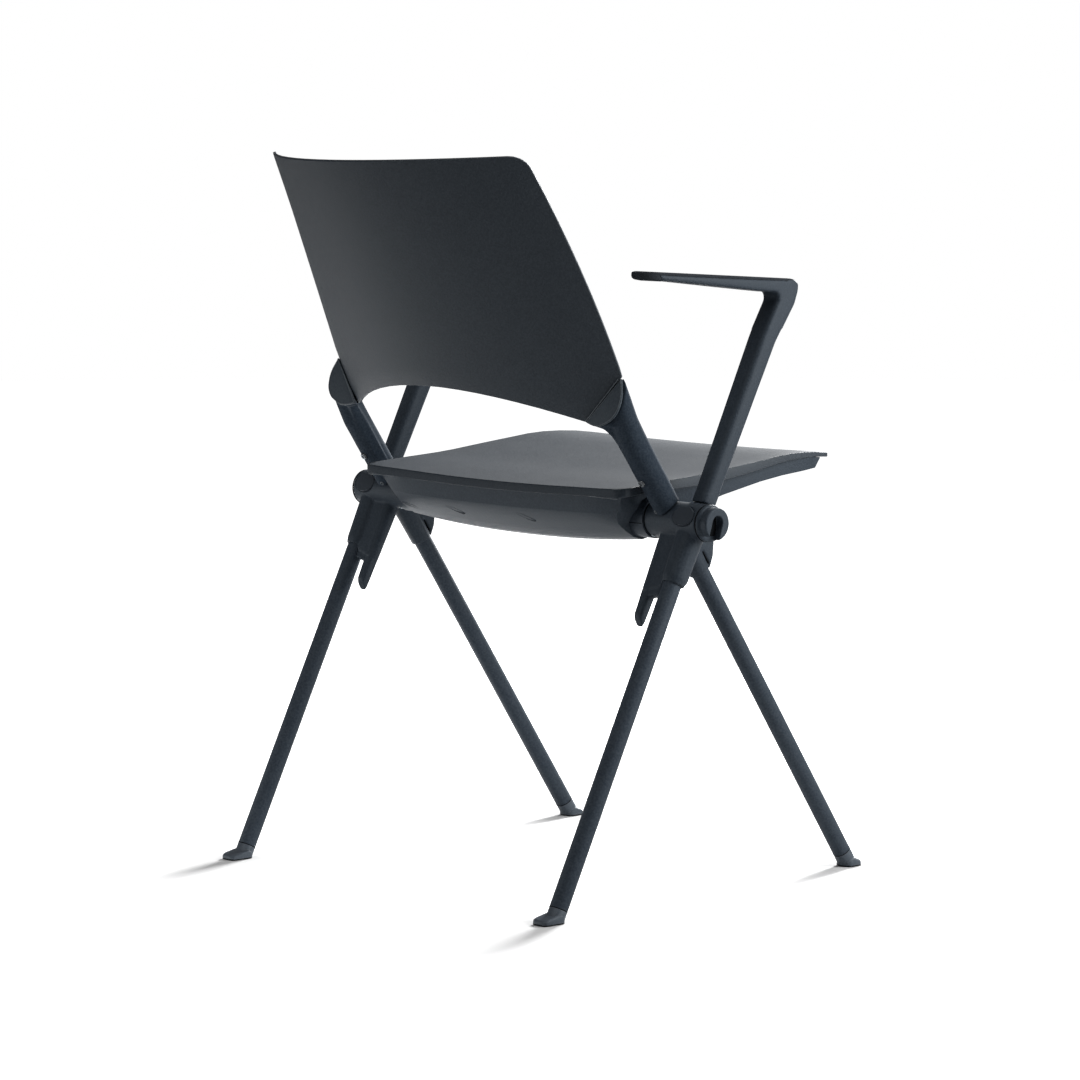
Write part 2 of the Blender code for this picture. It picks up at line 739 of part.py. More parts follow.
def mirrored_in_place(thing):
    thing.data.transform(Matrix.Diagonal((-1.0, 1.0, 1.0, 1.0)))
    thing.data.flip_normals()
    return thing


def link_base(name, across, diameter):
    collar = rod(name, diameter / 2, BARREL_OUTER + FIT, BARREL_OUTER + COLLAR_LENGTH, across)
    soften(collar, BARREL_BEVEL, segments=1)
    stem = rod("stem", LINK_STEM_DIAMETER / 2, BARREL_OUTER - LINK_STEM_LENGTH,
               BARREL_OUTER + COLLAR_LENGTH / 2, across, sides=COARSE)
    return join(collar, [stem])


def make_link_stud():
    across = cross_frame()
    stud = link_base("link_stud", across, STUD_FLANGE_DIAMETER)
    neck = rod("neck", STUD_NECK_DIAMETER / 2, BARREL_OUTER + COLLAR_LENGTH / 2,
               BARREL_OUTER + LINK_REACH - STUD_HEAD_LENGTH / 2, across, sides=COARSE)
    head = rod("head", STUD_HEAD_DIAMETER / 2, BARREL_OUTER + LINK_REACH - STUD_HEAD_LENGTH,
               BARREL_OUTER + LINK_REACH, across, sides=COARSE)
    soften(head, STUD_BEVEL, segments=1)
    return join(stud, [neck, head])


# Back surface: rear face of the shell at a width and a row
def back_row(row):
    centre = BACK_LOW[1] + row * (BACK_HIGH[1] - BACK_LOW[1])
    rise = row * (ARCH_DROP + TOP_RISE) - ARCH_DROP
    width = BACK_SPAN
    for _ in range(6):
        level = centre + rise * (width / BACK_SPAN) ** 2
        width = quadratic(EDGE_WIDTH, level - EDGE_LEVEL)
    return centre, rise, width, level


def quadratic(terms, distance):
    return terms[0] + terms[1] * distance + terms[2] * distance * distance


def back_point(x, row):
    centre, rise, width, level = back_row(row)
    height = BACK_HIGH[1] - BACK_LOW[1]
    up = centre - BACK_LOW[1]
    middle = BACK_LOW[0] + (BACK_HIGH[0] - BACK_LOW[0]) * up / height - BACK_BOW * up * (height - up)
    edge = quadratic(EDGE_DEPTH, level - EDGE_LEVEL)
    share = (x / width) ** 2
    return Vector((x, middle - (middle - edge) * share, centre + (level - centre) * share))


def seam_slope():
    return (CAP_TOP[1] - CAP_TOE[1]) / (CAP_TOP[0] - CAP_TOE[0])


def back_half_width(row):
    centre, rise, width, level = back_row(row)
    slope = seam_slope()
    bend = rise / BACK_SPAN ** 2
    rest = centre - CAP_TOE[1] + slope * (INNER_PLANE + CAP_TOE[0])
    root = math.sqrt(slope * slope - 4 * bend * rest)
    seam = 2 * rest / (slope + root)
    top = back_row(1.0)[3]
    stretch = math.hypot(1.0, EDGE_DEPTH[1] + 2 * EDGE_DEPTH[2] * (top - EDGE_LEVEL))
    left = (top - level) * stretch
    if left < TOP_CORNER:
        width -= TOP_CORNER - math.sqrt(TOP_CORNER ** 2 - (TOP_CORNER - left) ** 2)
    return min(width, seam)


def back_rows():
    corner = 1.0 - TOP_CORNER / (BACK_HIGH[1] - BACK_LOW[1])
    rows = [corner * k / BACK_ROWS for k in range(BACK_ROWS)]
    for k in range(CORNER_ROWS + 1):
        rows.append(1.0 - (1.0 - corner) * (1.0 - math.sin(math.pi / 2 * k / CORNER_ROWS)))
    return rows


def make_back():
    rows = []
    for row in back_rows():
        half = back_half_width(row)
        steps = [2 * k / BACK_COLUMNS - 1 for k in range(BACK_COLUMNS + 1)]
        rows.append([back_point(half * step, row) for step in steps])
    back = sheet("back_shell", [list(reversed(row)) for row in rows])
    thicken(back, BACK_THICKNESS)
    return soften(facing_out(baked(back)), BACK_BEVEL, segments=1, angle=60.0)


# Upright, its head and its cap
def cap_y(x, z):
    return CAP_LOW_Y + CAP_LEAN_X * (x - INNER_PLANE - CAP_LOW[0]) + CAP_LEAN_Z * (z - CAP_LOW[1])


def cap_place(place):
    return Vector((INNER_PLANE + place[0], 0.0, place[1]))


def cap_normal():
    return Vector((-CAP_LEAN_X, 1.0, -CAP_LEAN_Z)).normalized()


def seam_normal():
    along = Vector((CAP_TOP[0] - CAP_TOE[0], 0.0, CAP_TOP[1] - CAP_TOE[1])).normalized()
    return Vector((-along.z, 0.0, along.x))


def cap_outline():
    places = [CAP_TOP, *CAP_ROUND, CAP_TOE]
    closed = [(k, *place) for k, place in enumerate(places)]
    points = []
    count = 4 * (len(places) - 1)
    for k in range(count + 1):
        outward, z = smooth_line(closed, k / 4)
        x = INNER_PLANE + outward
        points.append(Vector((x, cap_y(x, z), z)) - seam_normal() * FIT)
    return points


def head_outline():
    return [point for point in cap_outline() if point.x < INNER_PLANE]


def make_cap():
    cap = prism("back_corner_cap_left", cap_outline(), cap_normal() * -CAP_THICKNESS)
    return soften(facing_out(cap), CAP_BEVEL, segments=1)


def make_upright():
    front = front_frame()
    radius = UPRIGHT_DIAMETER / 2
    rings = [circle(radius, 0.0, -UPRIGHT_SET_FORWARD, 0.0, sides=FINE)]
    for run, bend, size in UPRIGHT_BEND:
        rings.append(circle(size, 0.0, bend - UPRIGHT_SET_FORWARD, run, sides=FINE))
    tube = loft("back_upright_left", rings)
    tube.matrix_world = front
    facing_out(baked(tube))
    depth = cap_normal() * -(HEAD_DEPTH + CAP_THICKNESS)
    head = prism("head", head_outline(), depth)
    facing_out(head)
    flare = make_flare(front)
    join(tube, [head, flare])
    low = cap_place(CAP_LOW) + Vector((0.0, CAP_LOW_Y, 0.0))
    slice_off(tube, low - cap_normal() * (CAP_THICKNESS + FIT), cap_normal())
    toe = cap_place(CAP_TOE)
    slice_off(tube, toe - seam_normal() * FIT, seam_normal())
    join(tube, [make_tongue()])
    hub = rod("hub room", BARREL_DIAMETER / 2 + FIT, *HUB_ROOM, cross_frame())
    spigot = rod("spigot room", BACK_SPIGOT_DIAMETER / 2 + FIT, 0.0, SPIGOT_LENGTH + FIT, front,
                 sides=COARSE)
    carve(tube, [hub, spigot])
    return tube


def make_flare(front):
    frame = front @ Matrix.Rotation(math.pi - FLARE_TURN, 4, "Z")
    start = UPRIGHT_DIAMETER / 2 - FLARE_SINK
    half = FLARE_THICKNESS / 2
    curve = [(0.0, FLARE_START)]
    for k in range(8):
        turn = math.pi / 2 * k / 7
        reach = start + (FLARE_REACH - start) * (1.0 - math.cos(turn))
        climb = FLARE_START + (FLARE_HEIGHT - FLARE_START) * math.sin(turn)
        curve.append((reach, climb))
    curve.append((FLARE_REACH, FLARE_HEIGHT + FLARE_TOP_SPARE))
    curve.append((0.0, FLARE_HEIGHT + FLARE_TOP_SPARE))
    outline = [frame @ Vector((reach, -half, climb)) for reach, climb in curve]
    flare = prism("flare", outline, frame.to_3x3() @ Vector((0.0, FLARE_THICKNESS, 0.0)))
    return facing_out(flare)


def back_at(x, z):
    spread = (x / BACK_SPAN) ** 2
    height = BACK_HIGH[1] - BACK_LOW[1]
    row = (z - BACK_LOW[1] + ARCH_DROP * spread) / (height + (ARCH_DROP + TOP_RISE) * spread)
    return back_point(x, row)


def make_tongue():
    toe = cap_place(CAP_TOE)
    along = cap_place(CAP_TOP) - toe
    rows = []
    for k in range(5):
        climb = seam_normal() * (TONGUE_ROOT + (TONGUE_RISE - TONGUE_ROOT) * k / 4)
        shares = [TONGUE_START + (TONGUE_END - TONGUE_START) * j / 5 for j in range(6)]
        places = [toe + along * share + climb for share in shares]
        rows.append([back_at(place.x, place.z) for place in places])
    tongue = sheet("tongue", [list(reversed(row)) for row in rows])
    room = (BACK_THICKNESS + TONGUE_GAP) * 2 / TONGUE_THICKNESS + 1.0
    thicken(tongue, TONGUE_THICKNESS, offset=-room)
    return facing_out(baked(tongue))


# Seat shell on its pan
def seat_half_width(y):
    rear = SEAT_LINE[-1][0]
    front = SEAT_LINE[0][0]
    half = SEAT_HALF_WIDTH
    if y < SEAT_TAPER_START:
        share = (SEAT_TAPER_START - y) / (SEAT_TAPER_START - front)
        half -= SEAT_FRONT_TAPER * share ** SEAT_TAPER_POWER
    left = rear - y
    if left < SEAT_REAR_CORNER:
        half -= SEAT_REAR_CORNER - math.sqrt(SEAT_REAR_CORNER ** 2 - (SEAT_REAR_CORNER - left) ** 2)
    return half


def seat_rows():
    front = SEAT_LINE[0][0]
    rear = SEAT_LINE[-1][0]
    turn = rear - SEAT_REAR_CORNER
    rows = [front + (turn - front) * k / SEAT_ROWS for k in range(SEAT_ROWS)]
    for k in range(SEAT_CORNER_ROWS + 1):
        rows.append(turn + SEAT_REAR_CORNER * math.sin(math.pi / 2 * k / SEAT_CORNER_ROWS))
    return rows


def seat_point(x, y):
    level, thick = smooth_line(SEAT_LINE, y)
    front = SEAT_LINE[0][0]
    rear = SEAT_LINE[-1][0]
    dish = SEAT_FRONT_DISH + (SEAT_DISH - SEAT_FRONT_DISH) * (y - front) / (rear - front)
    share = (x / SEAT_HALF_WIDTH) ** 2
    return Vector((x, y, level - dish * (1.0 - share))), thick


def seat_solid(name, above, below, spare=0.0):
    steps = [2 * k / SEAT_COLUMNS - 1 for k in range(SEAT_COLUMNS + 1)]
    upper = []
    lower = []
    for y in seat_rows():
        half = seat_half_width(y) + spare
        places = [seat_point(half * step, y) for step in steps]
        upper.append([spot + Vector((0.0, 0.0, above)) for spot, thick in places])
        lower.append([spot - Vector((0.0, 0.0, thick + below)) for spot, thick in places])
    bm = bmesh.new()
    skins = []
    for grid in (upper, lower):
        verts = [[bm.verts.new(point) for point in row] for row in grid]
        for low, high in zip(verts, verts[1:]):
            for k in range(len(low) - 1):
                bm.faces.new((low[k], low[k + 1], high[k + 1], high[k]))
        right = [row[-1] for row in verts[1:-1]]
        left = [row[0] for row in verts[-2:0:-1]]
        skins.append(verts[0] + right + verts[-1][::-1] + left)
    count = len(skins[0])
    for k in range(count):
        after = (k + 1) % count
        bm.faces.new((skins[0][k], skins[0][after], skins[1][after], skins[1][k]))
    return object_from(bm, name)


def make_seat():
    return soften(seat_solid("seat_shell", 0.0, 0.0), SEAT_BEVEL, segments=1, angle=60.0)


def unit_share(share):
    return min(max(share, 0.0), 1.0)


def pan_solid(name, inset):
    stations = []
    lowest = min(z for y, z in PAN_LINE)
    half = PAN_HALF_WIDTH - inset
    for k in range(PAN_STATIONS):
        step = 2 * k / (PAN_STATIONS - 1) - 1
        ring = []
        for y, z in pan_line(inset):
            depth = unit_share((PAN_SAG_LEVEL - z) / (PAN_SAG_LEVEL - lowest))
            taper = unit_share((PAN_TAPER_START - y) / (PAN_TAPER_START - PAN_LINE[0][0]))
            low = unit_share((PAN_HUB_TOP - z) / (PAN_HUB_TOP - PAN_HUB_LOW))
            zone = unit_share((y - PAN_HUB_FRONT) / PAN_HUB_REACH)
            narrow = PAN_FRONT_INSET * taper ** 2 + PAN_HUB_INSET * zone * low
            x = half * step * (1.0 - narrow / PAN_HALF_WIDTH)
            sag = PAN_SAG * (1.0 - abs(x / PAN_HALF_WIDTH) ** PAN_SAG_POWER)
            ring.append(Vector((x, y, z - sag * depth)))
        stations.append(ring)
    return in_triangles(facing_out(loft(name, stations)))


def pan_line(inset):
    points = []
    for k, (y, z) in enumerate(PAN_LINE):
        before = PAN_LINE[max(k - 1, 0)]
        after = PAN_LINE[min(k + 1, len(PAN_LINE) - 1)]
        along = Vector((after[0] - before[0], after[1] - before[1], 0.0)).normalized()
        lift = PAN_OPEN_SPARE if inset and k in (0, len(PAN_LINE) - 1) else 0.0
        points.append((y - along.y * inset, z + along.x * inset + lift))
    return points


def make_pan():
    pan = pan_solid("seat_pan", 0.0)
    hollow = pan_solid("hollow", PAN_WALL)
    seat_room = seat_solid("seat room", SEAT_ROOM_HEIGHT, FIT, SEAT_ROOM_SPARE)
    beam_room = rod("beam room", BEAM_DIAMETER / 2 + FIT, -HUB_ROOM[1], HUB_ROOM[1], cross_frame())
    carve(pan, [seat_room])
    carve(pan, [hollow])
    end = BARREL_INNER - FIT
    boss = rod("boss", PAN_BOSS_DIAMETER / 2, end - PAN_BOSS_LENGTH, end, cross_frame())
    join(pan, [mirrored(boss, "other boss"), boss])
    return carve(pan, [beam_room])


def make_beam():
    outer = BEAM_DIAMETER / 2
    inner = outer - BEAM_WALL
    end = BARREL_INNER + BEAM_GRIP
    return lathe("cross_beam", [(outer, end), (outer, -end), (inner, -end), (inner, end)], cross_frame())


# Arm frame and its pad
def arm_stations():
    lean = Vector((0.0, -math.sin(REAR_RAKE), math.cos(REAR_RAKE)))
    over = Vector((0.0, math.cos(REAR_RAKE), math.sin(REAR_RAKE)))
    hub = over * -ARM_SET_FORWARD
    stations = []
    for run, behind, ahead, half, corner in ARM_UPRIGHT:
        centre = hub + lean * run
        stations.append((centre + over * behind, centre - over * ahead, half, corner))
    for (inner_y, inner_z), (outer_y, outer_z) in ARM_BEND:
        inside = Vector((0.0, inner_y, inner_z))
        outside = Vector((0.0, outer_y, outer_z))
        stations.append((inside, outside, ARM_TOP_HALF, ARM_BEND_CORNER))
    return stations


def arm_top(y):
    return ARM_TOP_LEVEL + (y - ARM_PAD_FRONT) * ARM_TOP_SLOPE


def arm_under(y):
    return ARM_UNDER_LEVEL + (y - ARM_UNDER_FRONT) * ARM_UNDER_SLOPE


def arm_span(y):
    share = unit_share((y - ARM_PAD_FRONT) / ARM_WIDENING)
    wide = share * share * (3 - 2 * share)
    inner = OUTER_PLANE - ARM_TOP_HALF
    return inner - (ARM_INNER_REACH - ARM_TOP_HALF) * wide, OUTER_PLANE + ARM_TOP_HALF


def arm_ring(inside, outside, left, right, corner):
    centre = (inside + outside) / 2
    reach = (outside - inside).length / 2
    up = (outside - inside).normalized()
    middle = (left + right) / 2
    half = (right - left) / 2
    ring = []
    for x, v in rounded(half, reach, min(corner, reach * 0.9, half * 0.9)):
        ring.append(Vector((middle + x, 0.0, 0.0)) + centre + up * v)
    return ring


def make_arm():
    rings = []
    for inside, outside, half, corner in arm_stations():
        rings.append(arm_ring(inside, outside, OUTER_PLANE - half, OUTER_PLANE + half, corner))
    for y, slant in ARM_REST:
        left, right = arm_span(y)
        inside = Vector((0.0, y, arm_under(y)))
        outside = Vector((0.0, y - slant, arm_top(y - slant) - ARM_PAD_THICKNESS - FIT))
        rings.append(arm_ring(inside, outside, left, right, ARM_CORNER))
    arm = facing_out(loft("arm_frame_left", rings))
    hub = rod("hub room", BARREL_DIAMETER / 2 + FIT, *HUB_ROOM, cross_frame())
    spigot = rod("spigot room", ARM_SPIGOT_DIAMETER / 2 + FIT, 0.0, SPIGOT_LENGTH + FIT, rear_frame(),
                 sides=COARSE)
    return carve(arm, [hub, spigot, pad_room()])


def pad_room():
    rings = []
    for y in (ARM_PAD_FRONT - ARM_PAD_END_GAP, *ARM_PAD_STEPS, ARM_TIP):
        left, right = arm_span(y)
        low = Vector((0.0, y, arm_top(y) - ARM_PAD_THICKNESS - FIT))
        high = Vector((0.0, y, arm_top(y) + CUT_SPARE))
        rings.append(arm_ring(low, high, left - ARM_CORNER, right + ARM_CORNER, ARM_PAD_CORNER))
    return facing_out(loft("pad room", rings))


def make_pad():
    rings = []
    end_top = ARM_END_LOW + ARM_END_SLANT + ARM_END_GAP
    for y in (ARM_PAD_FRONT, *ARM_PAD_STEPS, end_top):
        left, right = arm_span(y)
        low = Vector((0.0, y, arm_top(y) - ARM_PAD_THICKNESS))
        high = Vector((0.0, y, arm_top(y)))
        rings.append(arm_ring(low, high, left + ARM_PAD_TRIM, right - ARM_PAD_TRIM, ARM_PAD_CORNER))
    noses = [(ARM_END_LOW + 2 * ARM_END_GAP, end_top + ARM_END_GAP, 0.0, 1.0)]
    for before, inset, share in ARM_NOSE:
        noses.append((ARM_TIP - before, ARM_TIP - before, inset, share))
    for low_y, high_y, inset, share in noses:
        left, right = arm_span(high_y)
        top = arm_top(high_y)
        bottom = arm_under(low_y)
        middle = bottom + (top - bottom) * NOSE_LEVEL_SHARE
        low = Vector((0.0, low_y, middle + (bottom - middle) * share))
        high = Vector((0.0, high_y, middle + (top - middle) * share))
        rings.append(arm_ring(low, high, left + inset, right - inset, NOSE_CORNER))
    return facing_out(loft("arm_pad_left", rings))


def both(thing, slot):
    right = mirrored(thing, thing.name.replace("_left", "_right"))
    finish(thing, slot)
    finish(right, slot)


def place_on_floor():
    ROOT.location.z = HUB_HEIGHT
    bpy.context.view_layer.update()
    depths = [
        (thing.matrix_world @ vert.co).y
        for thing in PARTS.objects if thing.type == "MESH" for vert in thing.data.vertices
    ]
    ROOT.location.y -= (min(depths) + max(depths)) / 2


for old in list(bpy.data.objects):
    bpy.data.objects.remove(old, do_unlink=True)
PARTS = fresh_collection("linking_armchair")
ROOT = bpy.data.objects.new("chair_origin", None)
PARTS.objects.link(ROOT)

both(make_leg("front_leg_left", front_frame(), FRONT_RAKE, FRONT_SEAM), "leg_coat")
both(make_leg("rear_leg_left", rear_frame(), REAR_RAKE, REAR_SEAM), "leg_coat")
front_toe = (-1.0, FRONT_TOE_REACH, FRONT_HEEL)
rear_toe = (1.0, REAR_TOE_REACH, REAR_HEEL)
both(make_foot("front_foot_left", front_frame(), FRONT_RAKE, FRONT_SEAM, *front_toe), "foot_plastic")
both(make_foot("rear_foot_left", rear_frame(), REAR_RAKE, REAR_SEAM, *rear_toe), "foot_plastic")
both(make_hub(), "frame_plastic")
both(make_plug(), "pad_black")
finish(make_link_socket(), "frame_plastic")
finish(make_link_stud(), "frame_plastic")
finish(make_beam(), "beam_coat")
finish(make_seat(), "shell_plastic")
finish(make_pan(), "frame_plastic")
finish(make_back(), "shell_plastic")
both(make_upright(), "frame_plastic")
both(make_cap(), "shell_plastic")
both(make_arm(), "frame_plastic")
both(make_pad(), "pad_black")
place_on_floor()
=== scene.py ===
import math

import bmesh
import bpy
from mathutils import Matrix, Vector


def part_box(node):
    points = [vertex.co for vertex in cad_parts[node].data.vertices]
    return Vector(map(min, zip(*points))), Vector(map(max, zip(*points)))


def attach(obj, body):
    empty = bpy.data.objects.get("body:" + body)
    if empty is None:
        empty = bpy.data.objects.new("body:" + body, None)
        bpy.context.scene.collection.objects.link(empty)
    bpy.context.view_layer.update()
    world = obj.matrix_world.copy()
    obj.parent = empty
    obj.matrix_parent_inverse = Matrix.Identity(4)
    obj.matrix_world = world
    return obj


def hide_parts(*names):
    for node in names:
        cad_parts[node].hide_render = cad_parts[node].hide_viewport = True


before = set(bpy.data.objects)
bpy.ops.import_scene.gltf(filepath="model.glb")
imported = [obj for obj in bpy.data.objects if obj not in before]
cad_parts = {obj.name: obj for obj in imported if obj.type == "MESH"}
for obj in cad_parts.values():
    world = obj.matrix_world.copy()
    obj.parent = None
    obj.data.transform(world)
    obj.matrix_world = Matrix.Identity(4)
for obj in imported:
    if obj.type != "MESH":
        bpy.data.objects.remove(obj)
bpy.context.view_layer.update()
studLow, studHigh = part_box("link_stud")
hubCentre = Vector((0.0, (studLow.y + studHigh.y) / 2, (studLow.z + studHigh.z) / 2))
print("frame loaded, hub axis at", tuple(round(c, 4) for c in hubCentre))


# shared shader groups
def newGroup(name, inputs, outputs):
    group = bpy.data.node_groups.new(name, "ShaderNodeTree")
    for label, kind, value in inputs:
        socket = group.interface.new_socket(name=label, in_out="INPUT", socket_type=kind)
        socket.default_value = value
    for label, kind in outputs:
        group.interface.new_socket(name=label, in_out="OUTPUT", socket_type=kind)
    entry = group.nodes.new("NodeGroupInput")
    leave = group.nodes.new("NodeGroupOutput")
    return group, entry, leave


def addNode(tree, kind, **settings):
    node = tree.nodes.new(kind)
    for key, value in settings.items():
        setattr(node, key, value)
    return node


def mathNode(tree, operation, first, second=None, clamp=False):
    node = addNode(tree, "ShaderNodeMath", operation=operation, use_clamp=clamp)
    for slot, value in enumerate((first, second)):
        if value is None:
            continue
        if isinstance(value, (int, float)):
            node.inputs[slot].default_value = value
        else:
            tree.links.new(value, node.inputs[slot])
    return node.outputs[0]


def noiseNode(tree, coords, scale, detail=3.0, rough=0.55):
    node = addNode(tree, "ShaderNodeTexNoise")
    tree.links.new(coords, node.inputs["Vector"])
    if isinstance(scale, (int, float)):
        node.inputs["Scale"].default_value = scale
    else:
        tree.links.new(scale, node.inputs["Scale"])
    node.inputs["Detail"].default_value = detail
    node.inputs["Roughness"].default_value = rough
    return node.outputs["Fac"]


grainLook = {"contrast": 3.4, "fine": 0.6, "broad": 0.4}


def makeGrainGroup():
    group, entry, leave = newGroup(
        "mouldGrain",
        [("Vector", "NodeSocketVector", (0, 0, 0)), ("Grain Scale", "NodeSocketFloat", 1100.0),
         ("Mottle Scale", "NodeSocketFloat", 60.0)],
        [("Height", "NodeSocketFloat"), ("Tone", "NodeSocketFloat")],
    )
    coords = entry.outputs["Vector"]
    fine = noiseNode(group, coords, entry.outputs["Grain Scale"], 2.0)
    centred = mathNode(group, "SUBTRACT", fine, 0.5)
    wide = mathNode(group, "MULTIPLY", centred, grainLook["contrast"])
    stretched = mathNode(group, "ADD", wide, 0.5, clamp=True)
    mottle = noiseNode(group, coords, entry.outputs["Mottle Scale"], 4.0, 0.6)
    group.links.new(fine, leave.inputs["Height"])
    fineShare = mathNode(group, "MULTIPLY", stretched, grainLook["fine"])
    broadShare = mathNode(group, "MULTIPLY", mottle, grainLook["broad"])
    group.links.new(mathNode(group, "ADD", fineShare, broadShare), leave.inputs["Tone"])
    return group


# edges lightened in noise patches where their rounding turns: wear, and painted highlight standing in for the light
# edges catch
wearAndHighlightLook = {"radius": 0.0016, "gain": 3.0, "patchScale": 140.0, "patchFrom": 0.34, "patchGain": 2.2}


def makeWearAndHighlightGroup():
    group, entry, leave = newGroup(
        "edgeWearAndHighlight",
        [("Vector", "NodeSocketVector", (0, 0, 0)), ("Radius", "NodeSocketFloat", wearAndHighlightLook["radius"])],
        [("Mask", "NodeSocketFloat")],
    )
    rounded = addNode(group, "ShaderNodeBevel", samples=6)
    group.links.new(entry.outputs["Radius"], rounded.inputs["Radius"])
    geometry = addNode(group, "ShaderNodeNewGeometry")
    dot = addNode(group, "ShaderNodeVectorMath", operation="DOT_PRODUCT")
    group.links.new(rounded.outputs["Normal"], dot.inputs[0])
    group.links.new(geometry.outputs["Normal"], dot.inputs[1])
    turned = mathNode(group, "SUBTRACT", 1.0, dot.outputs["Value"])
    strong = mathNode(group, "MULTIPLY", turned, wearAndHighlightLook["gain"], clamp=True)
    patch = noiseNode(group, entry.outputs["Vector"], wearAndHighlightLook["patchScale"], 4.0)
    above = mathNode(group, "SUBTRACT", patch, wearAndHighlightLook["patchFrom"])
    ramp = mathNode(group, "MULTIPLY", above, wearAndHighlightLook["patchGain"], clamp=True)
    group.links.new(mathNode(group, "MULTIPLY", strong, ramp), leave.inputs["Mask"])
    return group


dustLook = {"colour": (0.20, 0.20, 0.19, 1.0), "cloudScale": 26.0, "cloudFrom": 0.36, "cloudGain": 1.9}


def makeDustGroup():
    group, entry, leave = newGroup(
        "dustFall",
        [("Vector", "NodeSocketVector", (0, 0, 0)), ("Amount", "NodeSocketFloat", 0.2)],
        [("Mask", "NodeSocketFloat")],
    )
    geometry = addNode(group, "ShaderNodeNewGeometry")
    split = addNode(group, "ShaderNodeSeparateXYZ")
    group.links.new(geometry.outputs["Normal"], split.inputs[0])
    upward = mathNode(group, "MAXIMUM", split.outputs["Z"], 0.0)
    cloud = noiseNode(group, entry.outputs["Vector"], dustLook["cloudScale"], 5.0, 0.62)
    above = mathNode(group, "SUBTRACT", cloud, dustLook["cloudFrom"])
    speck = mathNode(group, "MULTIPLY", above, dustLook["cloudGain"], clamp=True)
    lying = mathNode(group, "MULTIPLY", upward, speck)
    group.links.new(mathNode(group, "MULTIPLY", lying, entry.outputs["Amount"]), leave.inputs["Mask"])
    return group


grainGroup = makeGrainGroup()
wearAndHighlightGroup = makeWearAndHighlightGroup()
dustGroup = makeDustGroup()

